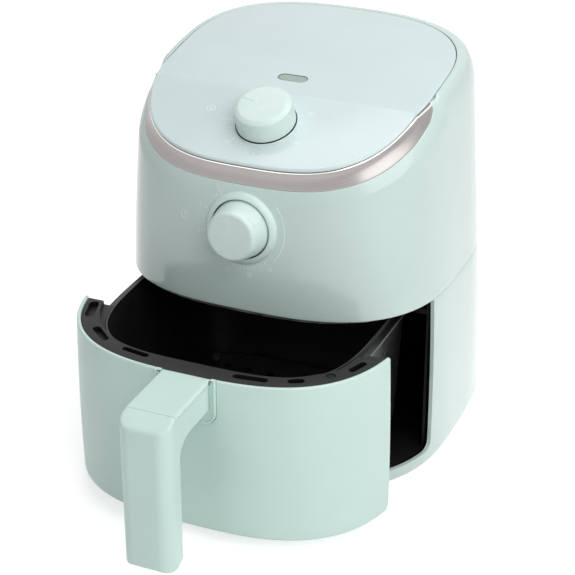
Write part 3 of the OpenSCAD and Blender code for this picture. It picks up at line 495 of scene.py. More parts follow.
def sheet_metal(name, colour, roughness, spread=0.08):
    """Plain plated or cast metal: blotches of tone and gloss."""
    f = Finish(name)
    f.set("Metallic", 1.0)
    skin = f.bump(f.noise(900, 2), 0.00001)
    return f.finish(f.tones(colour, spread, 140, 4), f.noise(70, 4), roughness * 0.7,
                    roughness * 1.3, skin)


def coating(name, colour, roughness):
    """Non-stick coating: a near-black skin with small paler flecks and a pebbled surface."""
    f = Finish(name)
    flecks = f.node("ShaderNodeTexVoronoi", [("Vector", f.place()), ("Scale", 900)]).outputs["Distance"]
    pale = tuple(min(1, c * 4 + 0.02) for c in colour[:3]) + (1,)
    first, second, result = 6, 7, 2  # The mix node's colour sockets
    mixed = f.node("ShaderNodeMix", data_type="RGBA")
    f.tree.links.new(f.ranged(flecks, 1, 0, 0.05, 0.12), mixed.inputs["Factor"])
    f.tree.links.new(f.tones(colour, 0.25, 60, 3), mixed.inputs[first])
    mixed.inputs[second].default_value = pale
    skin = f.bump(f.noise(700, 2), 0.00002)
    return f.finish(mixed.outputs[result], f.noise(120, 3), roughness * 0.8, roughness * 1.2, skin)


def rubber(name, colour):
    f = Finish(name)
    return f.finish(f.tones(colour, 0.12, 250, 4), f.noise(90, 3), 0.7, 0.9,
                    f.bump(f.noise(2000, 2), 0.00003))


def clear(name, colour, roughness, through=0.92):
    """Clear or tinted plastic or glass, with faint ripples."""
    f = Finish(name)
    f.set("Transmission Weight", through).set("IOR", 1.49)
    skin = f.bump(f.noise(300, 1), 0.00002)
    return f.finish(f.tones(colour, 0.04, 60, 2), f.noise(80, 2), roughness * 0.6, roughness * 1.4, skin)


MINT = plastic("mint_gloss", linear(202, 221, 216), 0.16, grain=0.000004, coat=0.25)
MINT_LID = plastic("mint_lid", linear(209, 225, 224), 0.2, grain=0.000004, coat=0.2)
MINT_SATIN = plastic("mint_satin", linear(206, 229, 222), 0.36)
MINT_KNOB = plastic("mint_knob", linear(214, 232, 227), 0.28)
DARK = plastic("dark_plastic", linear(34, 32, 34), 0.5, 0.00004, 1100, 0.12)
BLACK = plastic("black_plastic", linear(12, 11, 12), 0.5, 0.00003, 1100, 0.12)
BAND = metal("brushed_band", linear(166, 162, 160), 0.24, 5, 1500, 0.000004, spread=0.06)
# Near-white metal for the bead on the band's top edge: a painted highlight, paler than the band's own steel
BEAD = sheet_metal("bead_painted_highlight", linear(248, 246, 242), 0.14, 0.02)
COATED = coating("pan_coating", linear(22, 21, 22), 0.34)
PLATE = sheet_metal("plated_sheet", linear(178, 178, 174), 0.36)
BRIGHT = sheet_metal("bright_steel", linear(186, 186, 186), 0.22)
WIRE = sheet_metal("drawn_wire", linear(196, 196, 198), 0.16)
SHEATH = sheet_metal("element_sheath", linear(112, 104, 98), 0.4, 0.2)
COPPER = metal("copper_windings", linear(196, 130, 92), 0.3, 30, 900, 0.0002, "Object")
CERAMIC = plastic("ceramic", linear(226, 220, 206), 0.55)
WORKS = plastic("works_plastic", linear(66, 68, 72), 0.5)
ACETAL = plastic("acetal", linear(226, 226, 222), 0.4)
for finish in (DARK, BLACK):
    finish.node_tree.nodes["Principled BSDF"].inputs["Specular IOR Level"].default_value = 0.25
FEET = rubber("foot_rubber", linear(38, 37, 38))
SILICONE = rubber("silicone", linear(52, 52, 54))
WIRE_COVER = rubber("wire_cover", linear(178, 62, 50))
SEAL = plastic("window_seal", linear(96, 112, 108), 0.4)
LENS = clear("smoked_lens", linear(190, 206, 198), 0.12, through=0.35)
LAMP = clear("lamp_glass", linear(214, 160, 92), 0.15)
PRINT = plastic("printed_marks", linear(240, 246, 244), 0.5, grain=0.000002)

# ---- Solids that keep their shape: a finish for each ----

KEPT = {
    DARK: ["base_plate", "outlet_grille", "cord_gland", "switch_case"],
    BLACK: ["drawer_rails", "bay_liner", "pan_catch"],
    FEET: ["feet"],
    SILICONE: ["tray_bumpers"],
    WIRE_COVER: ["wiring"],
    COATED: ["crisper_tray"],
    PLATE: ["bay_ceiling", "heat_reflector", "motor_plate", "motor_bracket", "motor_case"],
    WIRE: ["element_guard", "tray_loop"],
    BRIGHT: ["base_screws", "handle_screws", "motor_bearings", "timer_bell", "motor_shaft", "motor_rotor",
             "fan_nut", "timer_shaft", "thermostat_shaft", "hot_air_fan", "cooling_fan"],
    SHEATH: ["heating_element"],
    COPPER: ["motor_stator"],
    CERAMIC: ["element_clips", "terminal_block", "thermal_fuse"],
    WORKS: ["timer_unit", "thermostat"],
    ACETAL: ["switch_plunger"],
    LAMP: ["pilot_lamps"],
}
for finish, names in KEPT.items():
    for name in names:
        obj = frame["nodes"][name]
        obj.data.materials.clear()
        obj.data.materials.append(finish)


# ---- Housing ----


def at_housing(points):
    return [(x, y + HOUSING_Y, z) for x, y, z in points]


def skin_row(inset, z):
    return at_housing([(*skin(a, z, inset), z) for a in TURNS])


def lip_row(inset, lift=0.0):
    return at_housing([(*skin(a, lip(a), inset), lip(a) + lift) for a in TURNS])


def brow_row(front_inset, front_drop, rear_inset, rear_drop):
    """A row of the body's top edge: at the front under the band, at the rear round the lid."""
    rows = []
    for a in TURNS:
        front = body_point(a, foot(a) - front_drop, front_inset)
        x, y = lid_edge(a, rear_inset - SHOULDER_REACH)
        share = rear_share(lid_edge(a)[1])
        rows.append(tuple(mix(p, q, share) for p, q in zip(front, (x, y, roof(y) - rear_drop))))
    return at_housing(rows)


def wall_row(inset, low, high, share):
    return at_housing([body_point(a, mix(p[2], q[2], share), inset) for a, p, q in zip(TURNS, low, high)])


def make_upper_housing():
    low = lip_row(0, 1.0)
    high = brow_row(0, 0.4, 0, 0.7)
    shelf = skin_row(WALL, SHELF_HEIGHT)
    under = brow_row(WALL, WALL, SHOULDER_REACH + LID_LEDGE, LID_THICKNESS + WALL)
    shares = [k / 26 * 0.6 for k in range(27)] + [0.6 + 0.4 * smooth(k / 28) for k in range(1, 29)]
    rings = [lip_row(1.0), lip_row(0.45, 0.08), lip_row(0.1, 0.4)]
    rings += [wall_row(0, low, high, share) for share in shares]
    rings += [brow_row(0.12, 0.12, 0.1, 0.4), brow_row(0.4, 0, 0.4, 0.3),
              brow_row(0.8, 0, SHOULDER_LIP - 0.2, 0.3), brow_row(1.0, 0.1, SHOULDER_LIP, 0.5),
              brow_row(1.2, 0, SHOULDER_LIP, LID_THICKNESS),
              brow_row(WALL, 0, SHOULDER_REACH + LID_LEDGE, LID_THICKNESS), under]
    rings += [wall_row(WALL, shelf, under, share) for share in (0.95, 0.85, 0.7, 0.5, 0.25)]
    rings += [shelf, lip_row(WALL, 6), lip_row(WALL, 1), lip_row(WALL - 0.4)]
    obj = loft("upper_shell", rings, "housing", MINT, replaces=["upper_housing"], slot="housing_mint")
    depth = 12
    cut(obj, cutter(*prism(box_outline(*GRILLE_SIZE, GRILLE_CORNER), -depth, depth, BACK)))


def make_lower_housing():
    top = SEAM_HEIGHT
    heights = [mix(SKIRT_GAP + 1.4, top - 0.5, k / 22) for k in range(23)]
    rings = [skin_row(1.4, SKIRT_GAP), skin_row(0.6, SKIRT_GAP + 0.2), skin_row(0.15, SKIRT_GAP + 0.7)]
    rings += [skin_row(0, z) for z in heights]
    rings += [skin_row(0.15, top - 0.15), skin_row(0.5, top), skin_row(WALL, top)]
    rings += [skin_row(WALL, z) for z in reversed(heights[1:-1:3])]
    rings += [skin_row(WALL, FLOOR_TOP), skin_row(FLOOR_EDGE, FLOOR_TOP), skin_row(FLOOR_EDGE, SKIRT_GAP)]
    obj = loft("lower_shell", rings, "housing", MINT, replaces=["lower_housing"], slot="housing_mint")
    corner = arc(-OPENING_EDGE - OPENING_CORNER, SILL_HEIGHT + OPENING_CORNER, OPENING_CORNER, -90, 0)
    profile = [(-FAR, SILL_HEIGHT)] + corner + [(-OPENING_EDGE, FAR), (-FAR, FAR)]
    cut(obj, cutter(*across(profile, HOUSING_Y)))


def make_lid():
    """Two flat faces that meet at a crease, inside an outline with rounded edges."""
    form = bmesh.new()
    outline = [lid_edge(a) for a in TURNS]
    top, bottom = [[form.verts.new(Vector((x, y + HOUSING_Y, roof(y) - drop)) * MM) for x, y in outline]
                   for drop in (0, LID_THICKNESS)]
    n = len(outline)
    form.faces.new(top)
    form.faces.new(list(reversed(bottom)))
    for j in range(n):
        form.faces.new((bottom[j], bottom[(j + 1) % n], top[(j + 1) % n], top[j]))
    crease = Vector((0, (HOUSING_Y - CREASE_FRONT) * MM, 0))
    bmesh.ops.bisect_plane(form, geom=form.verts[:] + form.edges[:] + form.faces[:], plane_co=crease,
                           plane_no=(0, 1, 0))
    long = LID_WIDTH / 4 * MM
    rim = [e for e in form.edges if e.calc_length() < long and len(e.link_faces) == 2
           and abs(e.verts[0].co.z - e.verts[1].co.z) < LID_THICKNESS * MM * 0.8
           and any(len(f.verts) > 4 for f in e.link_faces)]
    bmesh.ops.bevel(form, geom=rim, offset=LID_BEVEL * MM, segments=4, profile=0.5, affect="EDGES")
    data = bpy.data.meshes.new("lid_panel")
    form.to_mesh(data)
    form.free()
    obj = piece("lid_panel", data, "housing", MINT_LID, ["lid"], sharp=12)
    cut(obj, cutter(*prism(pill(WINDOW_LENGTH, WINDOW_WIDTH), -8, 4, CROWN)), sharp=12)


# Sections of the band and of the bead along its top edge: pairs of a share of the height and an inset

BAND_SECTION = ((0, 1.2), (0, 0.5), (0.02, 0.28), (0.06, 0.2), (0.25, 0.2), (0.5, 0.2), (0.75, 0.2),
                (0.94, 0.2), (0.98, 0.28), (1, 0.5), (1, 1.2), (0.5, 1.2))
BEAD_SECTION = ((1.0, 0.4), (1.0, 0.16), (0.85, 0.06), (0.6, 0.04), (0.3, 0.2), (0.1, 0.5), (0.05, 0.9),
                (0.3, 0.9))
BEAD_HEIGHT = 0.95


def make_band():
    """The band and the bead along its top edge, from the left tip to the right one; the bead's rounded
    shape is real, its near-white metal is a painted highlight.
    """
    near = 0.001
    band, bead = [], []
    left = [a for a in TURNS if a > 180 - near - TIP_TURN]
    for a in left + [a for a in TURNS if a < TIP_TURN + near]:
        low, top = foot(a), roof(lid_edge(a)[1]) - LID_THICKNESS
        rise = min(BEAD_HEIGHT, top - low)
        band.append(at_housing([body_point(a, mix(low, top, share), inset)
                                for share, inset in BAND_SECTION]))
        bead.append(at_housing([body_point(a, top - drop * rise, inset)
                                for drop, inset in BEAD_SECTION]))
    loft("steel_band", band, "housing", BAND, loop=False, replaces=["trim_band"], slot="band_steel",
         sharp=50)
    loft("band_bead", bead, "housing", BEAD, loop=False, slot="band_steel", sharp=60)


def make_lid_gap_shade():
    """A black strip at the bottom of the gap between the lid and the shoulder's lip: painted shade."""
    rings = []
    low, high, snug = 2.5, 0.9, 0.02
    for inset, drop in ((-snug, low), (-snug, high), (snug - LID_GAP, high), (snug - LID_GAP, low)):
        rings.append(at_housing([(*lid_edge(a, inset), roof(lid_edge(a)[1]) - drop) for a in TURNS
                                 if lid_edge(a)[1] > BROW_RUN - BAND_TIP]))
    loft("lid_gap_shade", rings, "housing", BLACK, closed=False, slot="rim_plastic")


def make_timer_bezel():
    inner = TIMER_KNOB_RADIUS + KNOB_GAP
    profile = [(DIAL_HOLE, -0.9), (BEZEL_RADIUS, -0.9)]
    edge = ((0, 0.5), (0.25, 1.2), (0.9, 2.1), (1.9, 2.9), (3, 3.4))
    profile += [(BEZEL_RADIUS - off, z) for off, z in edge]
    profile += [(inner + 0.7, BEZEL_PROUD), (inner + 0.2, BEZEL_PROUD - 0.2), (inner, BEZEL_PROUD - 0.7),
                (inner, 0.3), (DIAL_HOLE, 0.3)]
    lathe("dial_bezel", profile, TIMER, "housing", MINT_KNOB, replaces=["timer_bezel"],
          slot="housing_mint")
    # A thin black lining on the floor and wall of the gap round the knob: painted shade
    well = [(DIAL_HOLE, 0.31), (inner - 0.02, 0.31), (inner - 0.02, 1.6), (inner - 0.12, 1.6),
            (inner - 0.12, 0.4), (DIAL_HOLE, 0.4)]
    lathe("dial_gap_shade", well, TIMER, "housing", BLACK, slot="rim_plastic")


def make_temperature_ring():
    inner = DECK_KNOB_RADIUS + KNOB_GAP
    outer = inner + 1.0
    profile = [(DIAL_HOLE, 0.02), (outer, 0.02), (outer, 0.25), (outer - 0.3, 0.5), (inner + 0.2, 0.5),
               (inner, 0.3), (inner, 0.1), (DIAL_HOLE, 0.1)]
    lathe("deck_ring", profile, DECK, "housing", MINT_LID, replaces=["temperature_ring"],
          slot="housing_mint")
    # A thin black disc at the floor of the gap round the knob: painted shade
    well = [(DIAL_HOLE, 0.11), (inner - 0.02, 0.11), (inner - 0.02, 0.2), (DIAL_HOLE, 0.2)]
    lathe("deck_gap_shade", well, DECK, "housing", BLACK, slot="rim_plastic")


def make_knob(name, radius, length, taper, drop, edge, soft, place, body, node):
    """A hollow cap: a tapered skirt up to a shoulder, and a flat face edge in from the skirt."""
    axis, face, wall = 0.01, length + 1, 3
    outline = [(radius, 1), (radius - taper, length - drop), (radius - edge, face), (axis, face)]
    profile = [(axis, face - wall), (radius - edge - wall, face - wall), (radius - 2, 1)]
    profile += rounded(outline, soft, 5)
    lathe(name, profile, place, body, MINT_KNOB, replaces=[node], slot="knob_mint", sharp=40)


def pointer(name, low, high, width, rise, place, body):
    """A fine ridge with a rounded back, from one point of a knob's face or side to another."""
    a, b = Vector(low), Vector(high)
    way = (b - a).normalized()
    side = way.cross(Vector(rise)).normalized()
    up = side.cross(way).normalized() * Vector(rise).length
    rows = []
    for at, size in ((a, 0.3), (a + way * 0.3, 1), (b - way * 0.3, 1), (b, 0.3)):
        half = side * width / 2 * size
        section = ((-1, -1), (-1, 0.4 * size), (-0.5, size), (0.5, size), (1, 0.4 * size), (1, -1))
        rows.append([place @ (at + half * out + up * h) for out, h in section])
    loft(name, rows, body, MINT_KNOB, loop=False, slot="knob_mint")


def make_pointers():
    """A fine line moulded on each knob's face, and one along the timer knob's side."""
    face = TIMER_KNOB_LENGTH + 1
    pointer("pointer_front", (-13.8, 0.8, face), (-4, 0.2, face), 0.5, (0, 0, -0.16), TIMER, "timer_dial")
    angle, proud = 58, 0.18
    low, high = [polar(TIMER_KNOB_RADIUS - inset, angle) for inset in (0.2, 2.75)]
    rise = polar(proud, angle)
    pointer("pointer_side", (*low, 2), (*high, face - 2), 0.6, (*rise, 0), TIMER, "timer_dial")
    face = DECK_KNOB_LENGTH + 1
    pointer("pointer_top", (-14.6, 3.2, face), (-6, 1.3, face), 0.6, (0, 0, 0.22), DECK, "temperature_dial")


def make_window():
    """A smoked lens over a plated well, with a thin seal round it."""
    def pills(*section):
        return [[CROWN @ Vector((x, y, z)) for x, y in pill(WINDOW_LENGTH + grow, WINDOW_WIDTH + grow)]
                for grow, z in section]

    lens = pills((-0.7, -2.2), (-0.7, -0.5), (-1.5, -0.12), (-3, 0.0), (-5.2, 0.02))
    loft("window_lens", lens, "housing", LENS, loop=False, replaces=["indicator_lens"], slot="lens")
    well = pills((2, -5.5), (2, -2.62), (-0.3, -2.62), (-0.3, -5), (-WINDOW_WIDTH / 2, -5.2))
    loft("window_well", well, "housing", PLATE, loop=False, slot="sheet_steel")
    seal = pills((-0.1, -0.4), (-0.1, 0.03), (-0.3, 0.08), (-0.9, 0.08), (-1.1, 0.03), (-1.1, -0.4))
    loft("window_seal", seal, "housing", SEAL, slot="rim_plastic")


# ---- Printed marks ----

PRINT_LIFT, LINE, SYMBOL_RADIUS, DIGIT_HEIGHT = 0.12, 0.35, 2.8, 2.4
TIMER_TICKS, DECK_TICKS, TICKS_PER_NUMBER = 26, 22.8, 5


def on_front(x, v, lift):
    """A point of the front skin, from X and the height along the dial's plane, lifted off it."""
    z = TIMER_HEIGHT + v
    w, d = half_width(z), front_reach(z)
    y = -d * (1 - (abs(x) / w) ** FRONT_POWER) ** (1 / FRONT_POWER)
    return Vector((x, y + HOUSING_Y - lift, z))


def on_deck(x, v, lift):
    return DECK @ Vector((x, v, lift))


def stroke(points, width):
    """A flat line of one width: pairs of points on either side of it."""
    sides = []
    for i, p in enumerate(points):
        before, after = points[max(i - 1, 0)], points[min(i + 1, len(points) - 1)]
        way = (Vector(after) - Vector(before)).normalized()
        normal = Vector((-way.y, way.x)) * width / 2
        sides.append((tuple(Vector(p) + normal), tuple(Vector(p) - normal)))
    return sides


def print_strokes(name, strokes, surface):
    """Strokes from just under the surface to just over it."""
    points, faces = [], []
    for line in strokes:
        base = len(points)
        for left, right in line:
            for (x, y), h in ((left, PRINT_LIFT), (right, PRINT_LIFT), (right, -0.1), (left, -0.1)):
                points.append(surface(x, y, h))
        n = len(line)
        for i in range(n - 1):
            for j in range(4):
                k = (j + 1) % 4
                a = base + i * 4
                faces.append((a + j, a + 4 + j, a + 4 + k, a + k))
        faces.append(tuple(base + j for j in range(4)))
        faces.append(tuple(base + (n - 1) * 4 + j for j in (3, 2, 1, 0)))
    mesh(name, points, faces, "housing", PRINT, slot="housing_mint")


DIGITS = {
    "0": [[(0, 0.25), (0, 0.75), (0.15, 1), (0.45, 1), (0.6, 0.75), (0.6, 0.25), (0.45, 0), (0.15, 0),
           (0, 0.25)]],
    "1": [[(0.1, 0.8), (0.35, 1), (0.35, 0)]],
    "2": [[(0, 0.8), (0.15, 1), (0.45, 1), (0.6, 0.8), (0.6, 0.6), (0, 0), (0.6, 0)]],
    "3": [[(0, 1), (0.6, 1), (0.25, 0.6), (0.5, 0.55), (0.6, 0.3), (0.45, 0), (0.15, 0), (0, 0.2)]],
    "4": [[(0.45, 0), (0.45, 1), (0, 0.3), (0.6, 0.3)]],
    "5": [[(0.55, 1), (0.05, 1), (0.05, 0.55), (0.4, 0.6), (0.6, 0.35), (0.4, 0), (0, 0.05)]],
    "6": [[(0.5, 1), (0.15, 0.75), (0, 0.3), (0.15, 0), (0.45, 0), (0.6, 0.25), (0.45, 0.5), (0.1, 0.5)]],
    "8": [[(0.3, 0.52), (0.05, 0.75), (0.15, 1), (0.45, 1), (0.55, 0.75), (0.3, 0.52), (0, 0.25), (0.15, 0),
           (0.45, 0), (0.6, 0.25), (0.3, 0.52)]],
}


def number(text, x, y):
    """The strokes of a plain number, centred on x and y."""
    step = 0.82 * DIGIT_HEIGHT
    left = x - (step * len(text) - 0.22 * DIGIT_HEIGHT) / 2
    return [stroke([(left + i * step + u * DIGIT_HEIGHT, y + (v - 0.5) * DIGIT_HEIGHT) for u, v in line],
                   0.28) for i, digit in enumerate(text) for line in DIGITS[digit]]


def dial_marks(radius, start, end, count, labels):
    """Ticks clockwise from start to end, with a long one and a number at every few."""
    lines = []
    for k in range(count + 1):
        a = mix(start, end, k / count)
        long = k % TICKS_PER_NUMBER == 0
        lines.append(stroke([polar(radius, a), polar(radius + (2.6 if long else 1.4), a)], 0.32))
        if long:
            lines += number(labels[k // TICKS_PER_NUMBER], *polar(radius + 5.6, a))
    return lines


def symbol(x, y, *inside):
    """A ring with lines in it: pairs of points from the ring's centre and a width."""
    ring = arc(x, y, SYMBOL_RADIUS, 0, 360, 24)
    lines = [stroke([(x + u, y + v) for u, v in points], width) for points, width in inside]
    return [stroke(ring, LINE)] + lines


def make_marks():
    lines = dial_marks(TIMER_TICKS, -103, -36, 10, ("0", "5", "10"))
    lines += dial_marks(TIMER_TICKS, 142, 226, 15, ("15", "20", "25", "30"))
    lines.append(stroke([polar(TIMER_TICKS + 3.2, a) for a in range(52, 133, 3)], LINE))
    lines += symbol(-41.5, 1.5, (((0, 1.7), (0, 0), (1.1, -0.7)), LINE))
    print_strokes("timer_marks", lines, on_front)
    lines = dial_marks(DECK_TICKS, -95, -185, 10, ("60", "80", "120"))
    lines += dial_marks(DECK_TICKS, 175, 62, 10, ("150", "180", "200"))
    lines += symbol(-41, 5, (((0, -1.5), (0, 1.4)), LINE), (((-0.9, -1.3), (0.9, -1.3)), 0.5))
    print_strokes("temperature_marks", lines, on_deck)


# ---- Drawer ----

PLATE_WIDTH, PLATE_HEIGHT, PLATE_CORNER, PLATE_PROUD = 41, 31.5, 9, 1.2
HANDLE_FACE = front_reach(DRAWER_TOP - PLATE_HEIGHT / 2)
NECK_FACE = HANDLE_FACE + PLATE_PROUD
NECK_LENGTH, NECK_WIDTH, COVER, PLATE_SINK = 45.1, 33.2, 3, 0.8
SEAM_FACE = NECK_FACE + NECK_LENGTH
POCKET_FACE = HANDLE_FACE - WALL
RIM_SIDE, RIM_FRONT, RIM_PAN_GAP = 22, 16.3, 1.5
PAN_HALF = half_width(DRAWER_TOP) - WALL - RIM_SIDE
PAN_FRONT = front_reach(DRAWER_TOP) - WALL - RIM_FRONT
PAN_FLOOR = PAN_BOTTOM + PAN_WALL
HANDLE_GRAIN, GROOVE = 0.8, 0.16
DRAWER_PLATE = (Matrix.Translation((0, DRAWER_Y, DRAWER_TOP - PLATE_HEIGHT))
                @ Matrix.Rotation(math.radians(90), 4, "X"))


def at_drawer(points):
    return [(x, y + DRAWER_Y, z) for x, y, z in points]


def drawer_row(inset, z):
    return at_drawer([(*skin(a, z, inset), z) for a in TURNS])


def pan_row(grow, z):
    sink = PAN_DRAFT * (PAN_TOP - z) / (PAN_TOP - PAN_BOTTOM)
    low = clamped((PAN_BOTTOM + PAN_CORNER - z) / PAN_CORNER)
    off = grow - sink - PAN_CORNER * (1 - math.sqrt(1 - low * low))
    return at_drawer([(*oval(a, PAN_HALF + off, PAN_FRONT + off, PAN_REAR + off, PAN_POWER, PAN_POWER), z)
                      for a in TURNS])


def plate_outline(w, h, r):
    """The handle plate: square at the top, rounded below, from its lower edge up."""
    x = w / 2
    return [(-x, h), *arc(-x + r, r, r, 180, 270), *arc(x - r, r, r, -90, 0), (x, h)]


def soften(obj, width):
    """Rounds the piece's sharp edges."""
    change = obj.modifiers.new("soft", "BEVEL")
    change.limit_method = "ANGLE"
    change.angle_limit = math.radians(40)
    change.width = width * MM
    change.segments = 2
    change.miter_outer = "MITER_ARC"


def make_drawer_front():
    top, low = DRAWER_TOP, DRAWER_BOTTOM
    heights = [mix(low + 1.4, top - 1.3, k / 24) for k in range(25)]
    rings = [drawer_row(inset, low + z) for inset, z in ((1.1, 0), (0.5, 0.15), (0.12, 0.6))]
    rings += [drawer_row(0, z) for z in heights]
    edge = ((0.04, 0.8), (0.2, 0.4), (0.5, 0.1), (0.9, 0), (1.5, 0), (1.9, 0.1), (2.2, 0.4), (2.36, 0.8),
            (WALL, 1.4))
    rings += [drawer_row(inset, top - z) for inset, z in edge]
    rings += [drawer_row(WALL, RIM_HEIGHT), drawer_row(DRAWER_THICK, RIM_HEIGHT)]
    rings += [drawer_row(DRAWER_THICK, mix(RIM_HEIGHT, low + WALL, k / 5)) for k in range(1, 6)]
    obj = loft("drawer_shell", rings, "drawer", MINT_SATIN, loop=False, replaces=["drawer_front"],
               slot="drawer_mint")
    corner, snug = 5, 0.35
    profile = [(FAR, -FAR), (FAR, FAR), (EDGE_Y, FAR)]
    profile += arc(EDGE_Y - corner, low + corner, corner, 0, -90) + [(EDGE_Y - corner, -FAR)]
    cut(obj, cutter(*across(profile, DRAWER_Y)))
    pocket = plate_outline(PLATE_WIDTH + 2 * snug, PLATE_HEIGHT + 8, PLATE_CORNER)
    cut(obj, cutter(*prism([(x, y - snug) for x, y in pocket], POCKET_FACE - 0.3, FAR, DRAWER_PLATE)))
    soften(obj, 0.3)


def make_pan():
    """Thin walls with a rolled edge, a deep round to the floor and a shallow ring pressed into it."""
    bends = [1 - math.cos(math.radians(t)) for t in range(0, 91, 10)]
    rings = [pan_row(PAN_WALL, PAN_BOTTOM + b * PAN_CORNER) for b in bends]
    rings += [pan_row(PAN_WALL, z) for z in (60, 90, RIM_HEIGHT - 2)]
    flange = ((4.9, -2), (5.1, -1.8), (5.1, -0.2), (4.9, 0), (0.2, 0), (0, 0.2))
    rings += [pan_row(PAN_WALL + out, RIM_HEIGHT + up) for out, up in flange]
    edge = ((PAN_WALL, 0.4), (PAN_WALL - 0.15, 0.1), (0.6, 0), (0.15, 0.1), (0, 0.4))
    rings += [pan_row(out, PAN_TOP - down) for out, down in edge]
    rings += [pan_row(0, z) for z in (105, 90, 60, PAN_BOTTOM + PAN_CORNER)]
    rings += [pan_row(0, mix(PAN_FLOOR, PAN_BOTTOM + PAN_CORNER, b)) for b in reversed(bends[:-1])]
    floor = rings[-1]
    for share, drop in ((0.9, 0), (0.86, -0.35), (0.8, -0.35), (0.76, 0)):
        rings.append([(x * share, DRAWER_Y + (y - DRAWER_Y) * share, z + drop) for x, y, z in floor])
    loft("roasting_pan", rings, "drawer", COATED, loop=False, replaces=["pan"], slot="coated_metal")


# Each slot's angle, its share of the way across the rim, its length and its width

RIM_SLOTS = ((-149.2, 0.64, 21, 6.4), (-132.5, 0.36, 20, 5.4), (-114.7, 0.28, 20, 4.4),
             (-68.2, 0.34, 22.5, 5), (-53.3, 0.36, 10.5, 5), (-32.5, 0.56, 15, 4.6))
TIER_DEPTH, TIER_WIDTH, SLOT_FLOOR = 2.5, 11, 0.8
CATCH_ANGLE, CATCH_OFF, CATCH_RADIUS = -41.5, 6.7, 3


def rim_point(a, share):
    """A point between the rim's inner edge and its outer one."""
    inner = oval(a, PAN_HALF + RIM_PAN_GAP, PAN_FRONT + RIM_PAN_GAP, 1, PAN_POWER, 2)
    outer = oval(a, half_width(RIM_HEIGHT) - WALL, front_reach(RIM_HEIGHT) - WALL, 1, FRONT_POWER, 2)
    return mix(Vector(inner), Vector(outer), share)


def paint_slot_shade(obj, place, reach_x, reach_y):
    """Paints the walls of a slot black: painted shade in the blind slot."""
    if len(obj.data.materials) < 2:
        obj.data.materials.append(BLACK)
    back = place.inverted()
    for p in obj.data.polygons:
        at = back @ (p.center / MM)
        if abs(at.x) < reach_x and abs(at.y) < reach_y and at.z < RIM_TOP - 0.5:
            p.material_index = 1


def make_drawer_rim():
    """The dark frame between the shell and the pan: blind slots in it and a lower tier by the pan."""
    outer = [skin(a, RIM_TOP, WALL + 0.3) for a in TURNS]
    reaches = [reach + RIM_PAN_GAP for reach in (PAN_HALF, PAN_FRONT, PAN_REAR)]
    inner = [oval(a, *reaches, PAN_POWER, PAN_POWER) for a in TURNS]
    rows = []
    for share, z in ((0, RIM_HEIGHT), (0, RIM_TOP - 0.5), (0.012, RIM_TOP - 0.12), (0.035, RIM_TOP),
                     (0.5, RIM_TOP), (1, RIM_TOP), (1, RIM_HEIGHT)):
        rows.append(at_drawer([(mix(p[0], q[0], share), mix(p[1], q[1], share), z)
                               for p, q in zip(outer, inner)]))
    obj = loft("slotted_rim", rows, "drawer", DARK, replaces=["drawer_rim"], slot="rim_plastic")
    tier = at_drawer([(*oval(a, PAN_HALF + TIER_WIDTH, PAN_FRONT + RIM_PAN_GAP, PAN_REAR, 3, 3), 0)
                      for a in TURNS])
    cut(obj, cutter(*prism([p[:2] for p in tier], RIM_TOP - TIER_DEPTH, FAR)))
    end = EDGE_Y - 0.8 + DRAWER_Y
    cut(obj, cutter(*prism([(-FAR, end), (FAR, end), (FAR, FAR), (-FAR, FAR)], 0, FAR)))
    x, y = oval(CATCH_ANGLE, PAN_HALF + CATCH_OFF, PAN_FRONT + CATCH_OFF, PAN_REAR, PAN_POWER, PAN_POWER)
    hole = Matrix.Translation((x, y + DRAWER_Y, 0))
    cut(obj, cutter(*prism(arc(0, 0, CATCH_RADIUS + 0.3, 0, 352.5, 47), 0, FAR, hole)))
    floor, loose = RIM_HEIGHT + SLOT_FLOOR, 0.1
    points, faces = [], []
    for a, share, length, width in RIM_SLOTS:
        at, way = rim_point(a, share), rim_point(a + 1, share) - rim_point(a - 1, share)
        turn = Matrix.Rotation(math.atan2(way.y, way.x), 4, "Z")
        place = Matrix.Translation((at.x, at.y + DRAWER_Y, 0)) @ turn
        cut(obj, cutter(*prism(pill(length, width), floor, FAR, place)))
        paint_slot_shade(obj, place, length / 2 + loose, width / 2 + loose)
        # Black pads on each slot's floor: painted shade, since the blind slots are too shallow to go dark
        more, sides = prism(pill(length - loose, width - loose), floor + 0.02, floor + 0.3, place)
        faces += [tuple(len(points) + i for i in face) for face in sides]
        points += more
    mesh("slot_shade_pads", points, faces, "drawer", BLACK, slot="rim_plastic")
    soften(obj, 0.35)


def make_handle_plate():
    """A plate with a bead round its sunk face, let into the front and notched for the neck's cover."""
    half = NECK_WIDTH / 2 + 0.15
    notch = [(half, PLATE_HEIGHT), (half, PLATE_HEIGHT - COVER), (-half, PLATE_HEIGHT - COVER),
             (-half, PLATE_HEIGHT)]
    back, face, sunk = -WALL, PLATE_PROUD, PLATE_PROUD - PLATE_SINK
    rows = []
    for off, z in ((0.4, back), (0, back + 0.4), (0, face - 0.5), (0.12, face - 0.2), (0.4, face),
                   (1.3, face), (1.6, face - 0.15), (1.8, sunk + 0.15), (2.1, sunk)):
        outline = plate_outline(PLATE_WIDTH - 2 * off, PLATE_HEIGHT - off, PLATE_CORNER - off)
        outline = [(x, y + off) for x, y in outline] + notch
        rows.append([DRAWER_PLATE @ Vector((x, y, HANDLE_FACE + z)) for x, y in outline])
    loft("escutcheon", rows, "drawer", MINT_SATIN, loop=False, replaces=["handle_plate"],
         slot="drawer_mint", sharp=30)


def box(front, back, low, high):
    """A cutter wider than the handle, from front to back and from low to high."""
    outline = [(-PLATE_WIDTH, front), (PLATE_WIDTH, front), (PLATE_WIDTH, back), (-PLATE_WIDTH, back)]
    return cutter(*prism(outline, low, high))


